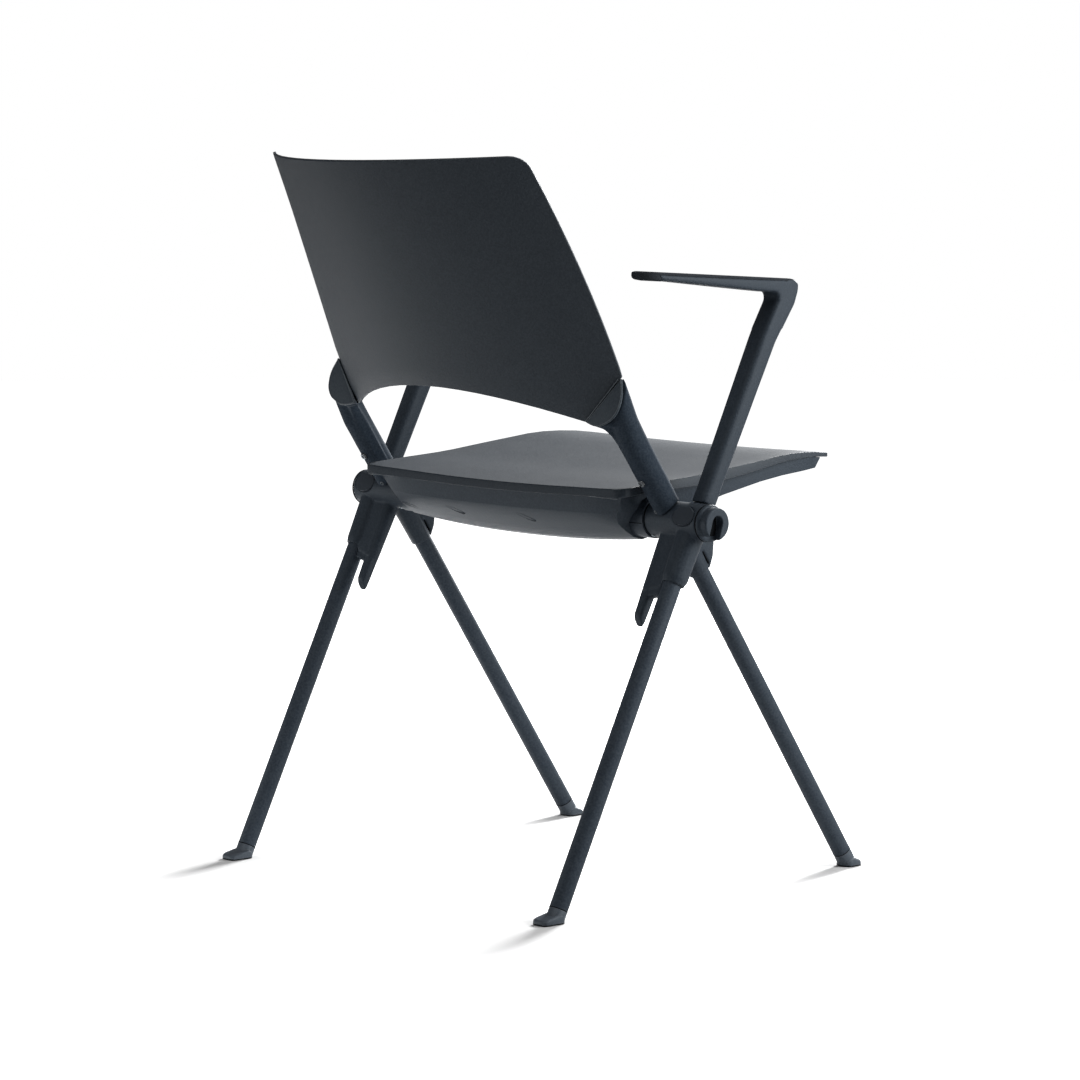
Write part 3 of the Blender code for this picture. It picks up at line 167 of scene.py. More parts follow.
coatLook = {"bumpDistance": 0.0006, "tint": (0.86, 0.94, 1.0, 1.0)}
finishes = {
    "shellPlastic": dict(dark=(0.0130, 0.0200, 0.0300), light=(0.0330, 0.0430, 0.0550), rough=(0.50, 0.66), grain=460.0,
                         mottle=55.0, bump=0.30, wearAndHighlight=(0.080, 0.095, 0.108), wearAndHighlightShare=0.40, dust=0.06, specular=0.46,
                         tint=(0.95, 0.985, 1.0, 1.0)),
    "framePlastic": dict(dark=(0.0130, 0.0205, 0.0310), light=(0.0320, 0.0420, 0.0550), rough=(0.52, 0.66), grain=460.0,
                         mottle=70.0, bump=0.30, wearAndHighlight=(0.085, 0.099, 0.112), wearAndHighlightShare=0.40, dust=0.04, specular=0.30),
    "legCoat": dict(dark=(0.0222, 0.0318, 0.0458), light=(0.0500, 0.0622, 0.0778), rough=(0.50, 0.64), grain=440.0,
                    mottle=90.0, bump=0.38, wearAndHighlight=(0.078, 0.090, 0.102), wearAndHighlightShare=0.40, dust=0.04, specular=0.18),
    "padBlack": dict(dark=(0.0230, 0.0265, 0.0320), light=(0.0400, 0.0445, 0.0510), rough=(0.74, 0.86), grain=900.0,
                     mottle=80.0, bump=0.05, wearAndHighlight=(0.050, 0.056, 0.064), wearAndHighlightShare=0.30, dust=0.02, specular=0.0),
    "plugMatte": dict(dark=(0.0190, 0.0250, 0.0345), light=(0.0300, 0.0370, 0.0470), rough=(0.66, 0.80), grain=900.0,
                      mottle=90.0, bump=0.24, wearAndHighlight=(0.070, 0.080, 0.090), wearAndHighlightShare=0.40, dust=0.03, specular=0.34),
    # a darker copy of the shell finish: painted shade on the seat's rear band
    "bandShade": dict(dark=(0.0096, 0.0148, 0.0222), light=(0.0245, 0.0318, 0.0408), rough=(0.56, 0.70), grain=460.0,
                      mottle=55.0, bump=0.30, wearAndHighlight=(0.060, 0.070, 0.080), wearAndHighlightShare=0.30, dust=0.02, specular=0.26),
    "uprightPlastic": dict(dark=(0.0165, 0.0255, 0.0380), light=(0.0395, 0.0515, 0.0670), rough=(0.60, 0.74), grain=460.0,
                           mottle=70.0, bump=0.30, wearAndHighlight=(0.085, 0.099, 0.112), wearAndHighlightShare=0.40, dust=0.04, specular=0.05),
    "panEndPaintedLight": dict(dark=(0.0260, 0.0370, 0.0510), light=(0.0520, 0.0640, 0.0800), rough=(0.60, 0.74), grain=460.0,
                     mottle=70.0, bump=0.24, wearAndHighlight=(0.050, 0.058, 0.066), wearAndHighlightShare=0.30, dust=0.02, specular=0.28),
    "capPlastic": dict(dark=(0.0190, 0.0275, 0.0385), light=(0.0420, 0.0530, 0.0650), rough=(0.50, 0.66), grain=460.0,
                       mottle=55.0, bump=0.30, wearAndHighlight=(0.090, 0.105, 0.118), wearAndHighlightShare=0.40, dust=0.06, specular=0.46),
    # the feet's pale edge lines are painted highlight as well as wear
    "footPlastic": dict(dark=(0.0420, 0.0535, 0.0690), light=(0.0700, 0.0845, 0.1030), rough=(0.42, 0.56), grain=700.0,
                        mottle=80.0, bump=0.22, wearAndHighlight=(0.330, 0.350, 0.370), wearAndHighlightShare=0.90, wearAndHighlightRadius=0.0022,
                        dust=0.20, specular=0.45),
    "beamCoat": dict(dark=(0.0200, 0.0265, 0.0345), light=(0.0340, 0.0410, 0.0490), rough=(0.42, 0.56), grain=760.0,
                     mottle=60.0, bump=0.32, wearAndHighlight=(0.090, 0.096, 0.104), wearAndHighlightShare=0.40, dust=0.08, specular=0.50),
    "seamDark": dict(dark=(0.0020, 0.0026, 0.0034), light=(0.0045, 0.0055, 0.0068), rough=(0.76, 0.90), grain=700.0,
                     mottle=120.0, bump=0.15, wearAndHighlight=(0.012, 0.014, 0.017), wearAndHighlightShare=0.20, dust=0.0, specular=0.12),
    # a pale finish for the painted highlights at seams and edges, also used on the base screws
    "seamLight": dict(dark=(0.0700, 0.0820, 0.0940), light=(0.1000, 0.1140, 0.1280), rough=(0.50, 0.62), grain=900.0,
                      mottle=90.0, bump=0.20, wearAndHighlight=(0.110, 0.122, 0.132), wearAndHighlightShare=0.50, dust=0.05, specular=0.46),
    "soleRubber": dict(dark=(0.0050, 0.0062, 0.0078), light=(0.0100, 0.0118, 0.0140), rough=(0.74, 0.88), grain=600.0,
                       mottle=90.0, bump=0.40, wearAndHighlight=(0.045, 0.047, 0.048), wearAndHighlightShare=0.50, dust=0.10, specular=0.25),
    "screwSteel": dict(dark=(0.110, 0.120, 0.130), light=(0.200, 0.210, 0.220), rough=(0.34, 0.50), grain=1500.0,
                       mottle=260.0, bump=0.10, wearAndHighlight=(0.34, 0.35, 0.36), wearAndHighlightShare=0.50, dust=0.04, specular=0.50, metal=1.0),
}


def plasticMaterial(name):
    look = finishes[name]
    material = bpy.data.materials.new(name)
    material.use_nodes = True
    tree = material.node_tree
    surface = tree.nodes["Principled BSDF"]
    coords = addNode(tree, "ShaderNodeTexCoord").outputs["Object"]
    grain = addNode(tree, "ShaderNodeGroup", node_tree=grainGroup)
    tree.links.new(coords, grain.inputs["Vector"])
    grain.inputs["Grain Scale"].default_value = look["grain"]
    grain.inputs["Mottle Scale"].default_value = look["mottle"]
    tone = addNode(tree, "ShaderNodeMix", data_type="RGBA")
    tone.inputs["A"].default_value = (*look["dark"], 1.0)
    tone.inputs["B"].default_value = (*look["light"], 1.0)
    tree.links.new(grain.outputs["Tone"], tone.inputs["Factor"])
    # lighter edges in patches: wear and painted highlight
    wearAndHighlight = addNode(tree, "ShaderNodeGroup", node_tree=wearAndHighlightGroup)
    tree.links.new(coords, wearAndHighlight.inputs["Vector"])
    wearAndHighlight.inputs["Radius"].default_value = look.get("wearAndHighlightRadius", wearAndHighlightLook["radius"])
    wornAndHighlit = addNode(tree, "ShaderNodeMix", data_type="RGBA")
    wornAndHighlit.inputs["B"].default_value = (*look["wearAndHighlight"], 1.0)
    tree.links.new(tone.outputs["Result"], wornAndHighlit.inputs["A"])
    tree.links.new(mathNode(tree, "MULTIPLY", wearAndHighlight.outputs["Mask"], look["wearAndHighlightShare"]), wornAndHighlit.inputs["Factor"])
    dust = addNode(tree, "ShaderNodeGroup", node_tree=dustGroup)
    tree.links.new(coords, dust.inputs["Vector"])
    dust.inputs["Amount"].default_value = look["dust"]
    dusted = addNode(tree, "ShaderNodeMix", data_type="RGBA")
    dusted.inputs["B"].default_value = dustLook["colour"]
    tree.links.new(wornAndHighlit.outputs["Result"], dusted.inputs["A"])
    tree.links.new(dust.outputs["Mask"], dusted.inputs["Factor"])
    tree.links.new(dusted.outputs["Result"], surface.inputs["Base Color"])
    spread = addNode(tree, "ShaderNodeMapRange")
    spread.inputs["To Min"].default_value = look["rough"][0]
    spread.inputs["To Max"].default_value = look["rough"][1]
    tree.links.new(grain.outputs["Tone"], spread.inputs["Value"])
    tree.links.new(spread.outputs["Result"], surface.inputs["Roughness"])
    bump = addNode(tree, "ShaderNodeBump")
    bump.inputs["Strength"].default_value = look["bump"]
    bump.inputs["Distance"].default_value = coatLook["bumpDistance"]
    tree.links.new(grain.outputs["Height"], bump.inputs["Height"])
    tree.links.new(bump.outputs["Normal"], surface.inputs["Normal"])
    surface.inputs["Specular IOR Level"].default_value = look["specular"]
    surface.inputs["Specular Tint"].default_value = look.get("tint", coatLook["tint"])
    surface.inputs["Metallic"].default_value = look.get("metal", 0.0)
    return material


materials = {name: plasticMaterial(name) for name in finishes}
print("materials ready:", ", ".join(materials))

# frames of the two legs, as in the solids
frameLook = {"frontRake": 33.85, "rearRake": 26.38, "uprightRadius": 0.01415, "barrelRadius": 0.020}
innerPlane = sum(c.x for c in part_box("front_leg_left")) / 2
outerPlane = sum(c.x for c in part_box("rear_leg_left")) / 2
sides = {"left": 1.0, "right": -1.0}


def fromHub(sign, place):
    return hubCentre + Vector((sign * place[0], place[1], place[2]))


def hubFrame(sign, plane=0.0):
    return Matrix.Translation((sign * plane, hubCentre.y, hubCentre.z))


def frontFrame(sign):
    return hubFrame(sign, innerPlane) @ Matrix.Rotation(math.radians(-frameLook["frontRake"]), 4, "X")


def rearFrame(sign):
    return hubFrame(sign, outerPlane) @ Matrix.Rotation(math.radians(frameLook["rearRake"]), 4, "X")


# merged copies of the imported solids
def cadCopy(node, merge=True):
    bm = bmesh.new()
    bm.from_mesh(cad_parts[node].data)
    bmesh.ops.remove_doubles(bm, verts=bm.verts, dist=0.00002)
    if merge:
        bmesh.ops.dissolve_limit(bm, angle_limit=math.radians(0.8), verts=bm.verts, edges=bm.edges)
    return bm


def sharpEdges(bm, angle):
    limit = math.radians(angle)
    return [e for e in bm.edges if len(e.link_faces) == 2 and e.calc_face_angle(0.0) > limit]


def roundOff(bm, width, angle=32.0, segments=2):
    bmesh.ops.bevel(bm, geom=sharpEdges(bm, angle), offset=width, segments=segments, profile=0.5,
                    affect="EDGES", clamp_overlap=True, material=-1)


def finishPiece(bm, name, material, nodes=(), smoothAngle=34.0):
    for face in bm.faces:
        face.smooth = True
    for edge in sharpEdges(bm, smoothAngle):
        edge.smooth = False
    mesh = bpy.data.meshes.new(name)
    bm.to_mesh(mesh)
    bm.free()
    piece = bpy.data.objects.new(name, mesh)
    bpy.context.scene.collection.objects.link(piece)
    mesh.materials.append(materials[material])
    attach(piece, "root")
    if nodes:
        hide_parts(*nodes)
    return piece


def smoothShare(value, low, high):
    share = min(max((value - low) / (high - low), 0.0), 1.0)
    return share * share * (3.0 - 2.0 * share)


# uprights and arms stand a dark seam's width off the hub barrel
standLook = {"low": 0.0201, "cut": 0.0207, "lift": 0.0212}


def standOff(vert):
    fromAxis = Vector((0.0, vert.co.y - hubCentre.y, vert.co.z - hubCentre.z))
    if standLook["low"] < fromAxis.length < standLook["cut"]:
        vert.co += fromAxis.normalized() * (standLook["lift"] - fromAxis.length)


# uprights are fuller inside and behind, with a ball of filler under the cap
fillLook = {"place": (0.2228, 0.0858, 0.1062), "radius": 0.0048, "inner": 0.26, "rear": 0.20, "rise": (0.038, 0.052),
            "foot": (0.022, 0.032), "fade": (0.070, 0.100)}


def fillUpright(bm, sign):
    tubeFrame = frontFrame(sign)
    back = tubeFrame.inverted()
    for vert in bm.verts:
        local = back @ vert.co
        level = vert.co.z - hubCentre.z
        share = smoothShare(level, *fillLook["rise"]) * (1.0 - smoothShare(level, *fillLook["fade"]))
        if sign * local.x < 0.0:
            local.x *= 1.0 + fillLook["inner"] * share
        share = smoothShare(level, *fillLook["foot"]) * (1.0 - smoothShare(level, *fillLook["fade"]))
        if local.y > 0.0:
            local.y *= 1.0 + fillLook["rear"] * share
        vert.co = tubeFrame @ local
    place = Matrix.Translation(fromHub(sign, fillLook["place"]))
    bmesh.ops.create_icosphere(bm, subdivisions=3, radius=fillLook["radius"], matrix=place)


def mouldedCopy(node, voxel, stages):
    bm = cadCopy(node)
    for vert in bm.verts:
        standOff(vert)
    if node.startswith("back_upright"):
        fillUpright(bm, sides[node.split("_")[-1]])
    mesh = bpy.data.meshes.new("rough")
    bm.to_mesh(mesh)
    bm.free()
    rough = bpy.data.objects.new("rough", mesh)
    bpy.context.scene.collection.objects.link(rough)
    remesh = rough.modifiers.new("remesh", "REMESH")
    remesh.mode = "VOXEL"
    remesh.voxel_size = voxel
    even = rough.evaluated_get(bpy.context.evaluated_depsgraph_get())
    bm = bmesh.new()
    bm.from_mesh(even.to_mesh())
    even.to_mesh_clear()
    bpy.data.objects.remove(rough)
    for passes, low, high in stages:
        chosen = [v for v in bm.verts if low < v.co.z - hubCentre.z < high]
        for step in range(passes):
            bmesh.ops.smooth_vert(bm, verts=chosen, factor=0.5, use_axis_x=True, use_axis_y=True, use_axis_z=True)
    return bm


copied = {
    "arm_pad": ("armPad", "padBlack", "pad_black", 0.0004),
    "back_corner_cap": ("cornerCap", "capPlastic", "shell_plastic", 0.0003),
    "front_leg": ("frontLeg", "legCoat", "leg_coat", 0.0004),
    "rear_leg": ("rearLeg", "legCoat", "leg_coat", 0.0004),
    "hub_plug": ("hubPlug", "plugMatte", "pad_black", 0.0003),
}
padLook = {"seat": 0.0013}  # underside let down onto the arm
for node, (piece, material, slot, width) in copied.items():
    for side in sides:
        bm = cadCopy(f"{node}_{side}")
        if node == "arm_pad":
            for vert in bm.verts:
                if vert.normal.z < 0.0:
                    vert.co.z -= padLook["seat"]
        roundOff(bm, width)
        finishPiece(bm, piece + side.title(), material, [f"{node}_{side}"])
for node, piece, material, slot, width in (
    ("link_stud", "linkStud", "framePlastic", "frame_plastic", 0.0005),
    ("cross_beam", "crossBeam", "beamCoat", "beam_coat", 0.0005),
):
    bm = cadCopy(node)
    roundOff(bm, width)
    finishPiece(bm, piece, material, [node])
print("copies of the solids finished")

# mouldings with soft fillets: name, voxel size and smoothing passes between two levels
armLook = {"turn": 0.66, "level": 0.235}  # upper face round the pad
mouldings = {
    "hub_left": ("hubLeft", 0.0008, ((5, -1.0, 1.0),)),
    "hub_right": ("hubRight", 0.0008, ((5, -1.0, 1.0),)),
    "link_socket": ("linkRing", 0.0005, ((3, -1.0, 1.0),)),
    "back_upright_left": ("backUprightLeft", 0.0010, ((4, -1.0, 1.0), (22, 0.055, 0.130))),
    "back_upright_right": ("backUprightRight", 0.0010, ((4, -1.0, 1.0), (22, 0.055, 0.130))),
    "arm_frame_left": ("armFrameLeft", 0.0012, ((9, -1.0, 1.0), (24, 0.030, 0.200))),
    "arm_frame_right": ("armFrameRight", 0.0012, ((9, -1.0, 1.0), (24, 0.030, 0.200))),
}
for node, (piece, voxel, stages) in mouldings.items():
    bm = mouldedCopy(node, voxel, stages)
    if node.startswith("arm_frame"):
        for face in bm.faces:
            if face.normal.z > armLook["turn"] and face.calc_center_median().z - hubCentre.z > armLook["level"]:
                face.material_index = 1
    material = "uprightPlastic" if node.startswith("back_upright") else "framePlastic"
    moulding = finishPiece(bm, piece, material, [node], 180.0)
    moulding.data.materials.append(materials["padBlack"])
print("mouldings finished")

# seat shell with fuller rear corners, and the pan with a crisp crease; its ends lie in shade beside the hubs and get a
# lighter finish, painted light
seatLook = {"edge": 0.0006, "endTurn": 0.45, "endFrom": 0.165, "endBack": -0.030, "recess": 0.0045,
            "crease": 0.0468, "creaseReach": 0.0003,
            "corner": (0.0062, 0.0026, -0.0004), "cornerAcross": (0.130, 0.206), "cornerRear": (0.026, 0.056),
            "drawFrom": 0.036, "drawAcross": (0.168, 0.190), "endDraw": -0.0055, "bandTurn": 0.55, "bandFrom": 0.030}


def cornerShare(co):
    return smoothShare(abs(co.x), *seatLook["cornerAcross"]) * smoothShare(co.y, *seatLook["cornerRear"])


bm = cadCopy("seat_shell", False)
for vert in bm.verts:
    share = cornerShare(vert.co)
    across, rear, up = seatLook["corner"]
    vert.co += Vector((math.copysign(across, vert.co.x), rear, up)) * share
roundOff(bm, seatLook["edge"])
# the seat's rear-facing band gets the darker finish, painted shade
for face in bm.faces:
    if face.normal.y > seatLook["bandTurn"] and face.calc_center_median().y > seatLook["bandFrom"]:
        face.material_index = 1
seatPiece = finishPiece(bm, "seatShell", "shellPlastic", ["seat_shell"])
seatPiece.data.materials.append(materials["bandShade"])
bm = cadCopy("seat_pan", False)
everything = bm.verts[:] + bm.edges[:] + bm.faces[:]
recess = (0.0, 0.0, hubCentre.z + seatLook["recess"])
bmesh.ops.bisect_plane(bm, geom=everything, plane_co=recess, plane_no=(0.0, 0.0, 1.0))
for vert in bm.verts:
    if vert.co.y > seatLook["drawFrom"]:
        vert.co.y += seatLook["endDraw"] * smoothShare(abs(vert.co.x), *seatLook["drawAcross"])
# the pan's end faces beside the hubs get the lighter finish, painted light
for face in bm.faces:
    middle = face.calc_center_median()
    atEnd = abs(middle.x) > seatLook["endFrom"] and middle.y > seatLook["endBack"]
    if atEnd and abs(face.normal.x) > seatLook["endTurn"]:
        face.material_index = 1
panPiece = finishPiece(bm, "seatPan", "framePlastic", ["seat_pan"])
panPiece.data.materials.append(materials["panEndPaintedLight"])
for edge in panPiece.data.edges:
    ends = [panPiece.data.vertices[k].co for k in edge.vertices]
    if all(abs(co.y - hubCentre.y - seatLook["crease"]) < seatLook["creaseReach"] for co in ends):
        edge.use_edge_sharp = True
print("seat and pan finished")

# back shell, its side corners drawn out along the joint to the tips of the caps
cornerLook = {"across": (0.2190, 0.2225), "level": (0.1425, 0.1450), "move": (0.0103, -0.0031, 0.0117), "edge": 0.0005}
acrossLow, acrossHigh = cornerLook["across"]
levelLow, levelHigh = cornerLook["level"]
bm = cadCopy("back_shell")
for vert in bm.verts:
    if acrossLow < abs(vert.co.x) < acrossHigh and levelLow < vert.co.z - hubCentre.z < levelHigh:
        across, back, up = cornerLook["move"]
        vert.co += Vector((math.copysign(across, vert.co.x), back, up))
roundOff(bm, cornerLook["edge"])
finishPiece(bm, "backShell", "shellPlastic", ["back_shell"])
print("back shell finished")

# feet in two parts: the shoe and its dark sole
footLook = {"sole": 0.0010, "seam": 0.0003, "edge": 0.0004}


def cutLevel(bm, level, keepLow):
    everything = bm.verts[:] + bm.edges[:] + bm.faces[:]
    cut = bmesh.ops.bisect_plane(bm, geom=everything, plane_co=(0.0, 0.0, level), plane_no=(0.0, 0.0, 1.0),
                                 clear_outer=keepLow, clear_inner=not keepLow)
    rim = [e for e in cut["geom_cut"] if isinstance(e, bmesh.types.BMEdge)]
    bmesh.ops.edgeloop_fill(bm, edges=rim)
    bmesh.ops.recalc_face_normals(bm, faces=bm.faces)


for end in ("front", "rear"):
    for side in sides:
        node = f"{end}_foot_{side}"
        bm = cadCopy(node)
        cutLevel(bm, footLook["sole"] + footLook["seam"], False)
        roundOff(bm, footLook["edge"])
        finishPiece(bm, end + "Foot" + side.title(), "footPlastic", [node])
        bm = cadCopy(node)
        cutLevel(bm, footLook["sole"], True)
        roundOff(bm, footLook["edge"] / 4)
        finishPiece(bm, end + "Sole" + side.title(), "soleRubber")
print("feet and soles finished")

# screws in the uprights and under the barrels
screwLook = {
    "upright": dict(radius=0.0041, height=0.0018, rim=0.0007, socket=0.0018, depth=0.0008, sink=0.0011,
                    along=0.0600, out=0.0026),
    "base": dict(radius=0.0026, height=0.0012, rim=0.0004, socket=0.0011, depth=0.0007, sink=0.0003,
                 along=0.0205, turn=14.0),
    "barrel": dict(radius=0.0024, height=0.0012, rim=0.0004, socket=0.0011, depth=0.0007, sink=0.0003,
                   along=0.2078, turn=-151.6),
}


headLook = {"sides": 28, "taper": 0.90, "wall": 0.0002}


def makeScrew(name, matrix, look, material):
    topRadius = look["radius"] * headLook["taper"]
    bm = bmesh.new()
    bmesh.ops.create_cone(bm, cap_ends=True, segments=headLook["sides"], radius1=look["radius"], radius2=topRadius,
                          depth=look["height"])
    top = max(bm.faces, key=lambda f: f.calc_center_median().z)
    bmesh.ops.bevel(bm, geom=list(top.edges), offset=look["rim"], segments=4, profile=0.5, affect="EDGES", material=-1)
    top = max(bm.faces, key=lambda f: f.normal.z * f.calc_area())
    bmesh.ops.inset_region(bm, faces=[top], thickness=topRadius - look["rim"] - look["socket"])
    bmesh.ops.inset_region(bm, faces=[top], thickness=headLook["wall"], depth=-look["depth"])
    lift = Matrix.Translation((0.0, 0.0, look["height"] / 2 - look["sink"]))
    bmesh.ops.transform(bm, matrix=matrix @ lift, verts=bm.verts)
    finishPiece(bm, name, material)


quarter = Matrix.Rotation(math.radians(-90.0), 4, "X")
for side, sign in sides.items():
    look = screwLook["upright"]
    seat = frontFrame(sign) @ Matrix.Translation((0.0, frameLook["uprightRadius"] + look["out"], look["along"])) @ quarter
    makeScrew("uprightScrew" + side.title(), seat, look, "screwSteel")
    look = screwLook["base"]
    turned = frontFrame(sign) @ Matrix.Rotation(math.radians(sign * look["turn"]), 4, "Z")
    seat = turned @ Matrix.Translation((0.0, frameLook["uprightRadius"], look["along"])) @ quarter
    makeScrew("baseScrew" + side.title(), seat, look, "seamLight")
    look = screwLook["barrel"]
    turned = hubFrame(sign, look["along"]) @ Matrix.Rotation(math.radians(look["turn"]), 4, "X")
    seat = turned @ Matrix.Translation((0.0, 0.0, frameLook["barrelRadius"]))
    makeScrew("barrelScrew" + side.title(), seat, look, "screwSteel")
print("screws finished")

# dark rings where the barrel meets the pan boss and the link pieces, and where each tube meets its foot
ringLook = {"inner": dict(place=0.20285, radius=0.0199, width=0.0014, thick=0.0008),
            "outer": dict(place=0.28085, radius=0.0199, width=0.0012, thick=0.0008),
            "foot": dict(radius=0.01012, width=0.0009, thick=0.0008)}
crossways = Matrix.Rotation(math.radians(90.0), 4, "Y")


def makeRing(name, matrix, look):
    bm = bmesh.new()
    bmesh.ops.create_circle(bm, cap_ends=False, segments=64, radius=look["radius"])
    rim = bmesh.ops.extrude_edge_only(bm, edges=bm.edges)
    lifted = [v for v in rim["geom"] if isinstance(v, bmesh.types.BMVert)]
    bmesh.ops.translate(bm, verts=lifted, vec=(0.0, 0.0, look["width"]))
    bmesh.ops.translate(bm, verts=bm.verts, vec=(0.0, 0.0, -look["width"] / 2))
    bmesh.ops.recalc_face_normals(bm, faces=bm.faces)
    bmesh.ops.solidify(bm, geom=bm.faces, thickness=look["thick"])
    bmesh.ops.transform(bm, matrix=matrix, verts=bm.verts)
    bmesh.ops.recalc_face_normals(bm, faces=bm.faces)
    finishPiece(bm, name, "seamDark")


for side, sign in sides.items():
    for place in ("inner", "outer"):
        look = ringLook[place]
        makeRing(place + "Ring" + side.title(), hubFrame(sign, look["place"]) @ crossways, look)
    for end, legFrame in (("front", frontFrame(sign)), ("rear", rearFrame(sign))):
        back = legFrame.inverted()
        tubeEnd = min((back @ v.co).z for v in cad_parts[f"{end}_leg_{side}"].data.vertices)
        makeRing(end + "FootRing" + side.title(), legFrame @ Matrix.Translation((0.0, 0.0, tubeEnd)), ringLook["foot"])
print("rings finished")


# thin strips: split line of the pan boss, and painted shade and highlight at the fin slit, seat edge and link slot
def makeStrip(name, matrix, size, edge, material):
    bm = bmesh.new()
    bmesh.ops.create_cube(bm, size=1.0)
    bmesh.ops.scale(bm, vec=size, verts=bm.verts)
    bmesh.ops.bevel(bm, geom=bm.edges[:], offset=edge, segments=2, profile=0.5, affect="EDGES", material=-1)
    bmesh.ops.transform(bm, matrix=matrix, verts=bm.verts)
    finishPiece(bm, name, material)


def barFrame(low, high):
    turn = (high - low).to_track_quat("Z", "Y").to_matrix().to_4x4()
    return Matrix.Translation((low + high) / 2) @ turn


stripLook = {
    "bossSplit": dict(size=(0.0202, 0.0008, 0.0008), place=0.1918, radius=0.02165, turn=-102.5, edge=0.0002),
    "finSlitShade": dict(size=(0.0143, 0.0009, 0.0160), place=(0.0, -0.01065, -0.0585), edge=0.0002),
}
for side, sign in sides.items():
    look = stripLook["bossSplit"]
    turned = hubFrame(sign, look["place"]) @ Matrix.Rotation(math.radians(look["turn"]), 4, "X")
    seat = turned @ Matrix.Translation((0.0, 0.0, look["radius"]))
    makeStrip("bossSplit" + side.title(), seat, look["size"], look["edge"], "seamDark")
    # a dark strip in the slit beside the fin, painted shade
    look = stripLook["finSlitShade"]
    seat = frontFrame(sign) @ Matrix.Translation(look["place"])
    makeStrip("finSlitShade" + side.title(), seat, look["size"], look["edge"], "seamDark")
# a pale strip under the seat's rear edge, painted highlight where that edge catches light
edgeHighlightLook = {"from": (0.2050, 0.0598, 0.0238), "to": (0.1608, 0.0590, 0.0240), "size": (0.0008, 0.0008), "edge": 0.0003}
for side, sign in sides.items():
    low, high = fromHub(sign, edgeHighlightLook["from"]), fromHub(sign, edgeHighlightLook["to"])
    size = (*edgeHighlightLook["size"], (high - low).length)
    makeStrip("seatEdgeHighlight" + side.title(), barFrame(low, high), size, edgeHighlightLook["edge"], "seamLight")
# a dark plate at the back of the link slot, painted shade in the slot
slotShadeLook = {"size": (0.0010, 0.0116, 0.0200), "place": (-0.2866, 0.0002, -0.0030), "edge": 0.0003}
seat = Matrix.Translation(hubCentre + Vector(slotShadeLook["place"]))
makeStrip("linkSlotShade", seat, slotShadeLook["size"], slotShadeLook["edge"], "seamDark")
print("seam strips finished")

# pale strip round the rear face of each corner cap, a painted highlight on its rim
capLook = {"width": 0.0009, "lift": 0.0002, "thick": 0.0003}
for side in sides:
    bm = cadCopy("back_corner_cap_" + side)
    plate = max(bm.faces, key=lambda f: f.normal.y * f.calc_area())
    away = plate.normal.copy()
    bmesh.ops.delete(bm, geom=[f for f in bm.faces if f is not plate], context="FACES")
    plate = bm.faces[:][0]
    bmesh.ops.inset_region(bm, faces=[plate], thickness=capLook["width"], use_boundary=True, use_even_offset=True)
    bmesh.ops.delete(bm, geom=[plate], context="FACES")
    bmesh.ops.translate(bm, verts=bm.verts, vec=away * capLook["lift"])
    bmesh.ops.solidify(bm, geom=bm.faces, thickness=capLook["thick"])
    bmesh.ops.recalc_face_normals(bm, faces=bm.faces)
    finishPiece(bm, "capRimHighlight" + side.title(), "seamLight")
# pale bar in the slanted joint of cap and back, a painted highlight on the joint, and a dark backing that closes the
# joint
capJointLook = {"low": (0.1890, 0.0910, 0.1066), "high": (0.2303, 0.0826, 0.1528), "size": (0.0011, 0.0011), "edge": 0.0004,
            "backing": (0.0004, -0.0040, -0.0004), "backingSize": (0.0016, 0.0036)}
for side, sign in sides.items():
    low, high = fromHub(sign, capJointLook["low"]), fromHub(sign, capJointLook["high"])
    bar = barFrame(low, high)
    size = (*capJointLook["size"], (high - low).length)
    makeStrip("capSeamHighlight" + side.title(), bar, size, capJointLook["edge"], "seamLight")
    across, back, up = capJointLook["backing"]
    size = (*capJointLook["backingSize"], (high - low).length)
    makeStrip("capBacking" + side.title(), Matrix.Translation((sign * across, back, up)) @ bar, size, capJointLook["edge"],
              "seamDark")
print("cap seams finished")

# slanted dark oval rings on the underside of the pan, painted shade at the rims of shallow recesses
recessShadeLook = {"half": (0.0132, 0.0030), "line": 0.00032, "thick": 0.0008, "sink": 0.0002, "sides": 40,
            "centres": ((0.1660, 0.0290, -0.0114), (0.0838, 0.0354, -0.0096), (-0.0350, 0.0368, -0.0090)),
            "normals": ((0.04, 0.60, -0.80), (0.02, 0.70, -0.71), (0.0, 0.70, -0.71)), "slant": (-0.905, -0.300, -0.300)}
for count, (centre, normal) in enumerate(zip(recessShadeLook["centres"], recessShadeLook["normals"])):
    up = Vector(normal).normalized()
    along = Vector(recessShadeLook["slant"])
    along = (along - up * along.dot(up)).normalized()
    turn = Matrix((along, up.cross(along), up)).transposed().to_4x4()
    bm = bmesh.new()
    bmesh.ops.create_circle(bm, cap_ends=True, segments=recessShadeLook["sides"], radius=1.0)
    bmesh.ops.scale(bm, vec=(*recessShadeLook["half"], 1.0), verts=bm.verts)
    disc = bm.faces[:][0]
    bmesh.ops.inset_region(bm, faces=[disc], thickness=recessShadeLook["line"], use_boundary=True, use_even_offset=True)
    bmesh.ops.delete(bm, geom=[disc], context="FACES")
    bmesh.ops.solidify(bm, geom=bm.faces, thickness=recessShadeLook["thick"])
    bmesh.ops.translate(bm, verts=bm.verts, vec=(0.0, 0.0, recessShadeLook["thick"] / 2 - recessShadeLook["sink"]))
    bmesh.ops.transform(bm, matrix=Matrix.Translation(hubCentre + Vector(centre)) @ turn, verts=bm.verts)
    bmesh.ops.recalc_face_normals(bm, faces=bm.faces)
    finishPiece(bm, f"panRecessShade{count + 1}", "plugMatte")
print("pan marks finished")

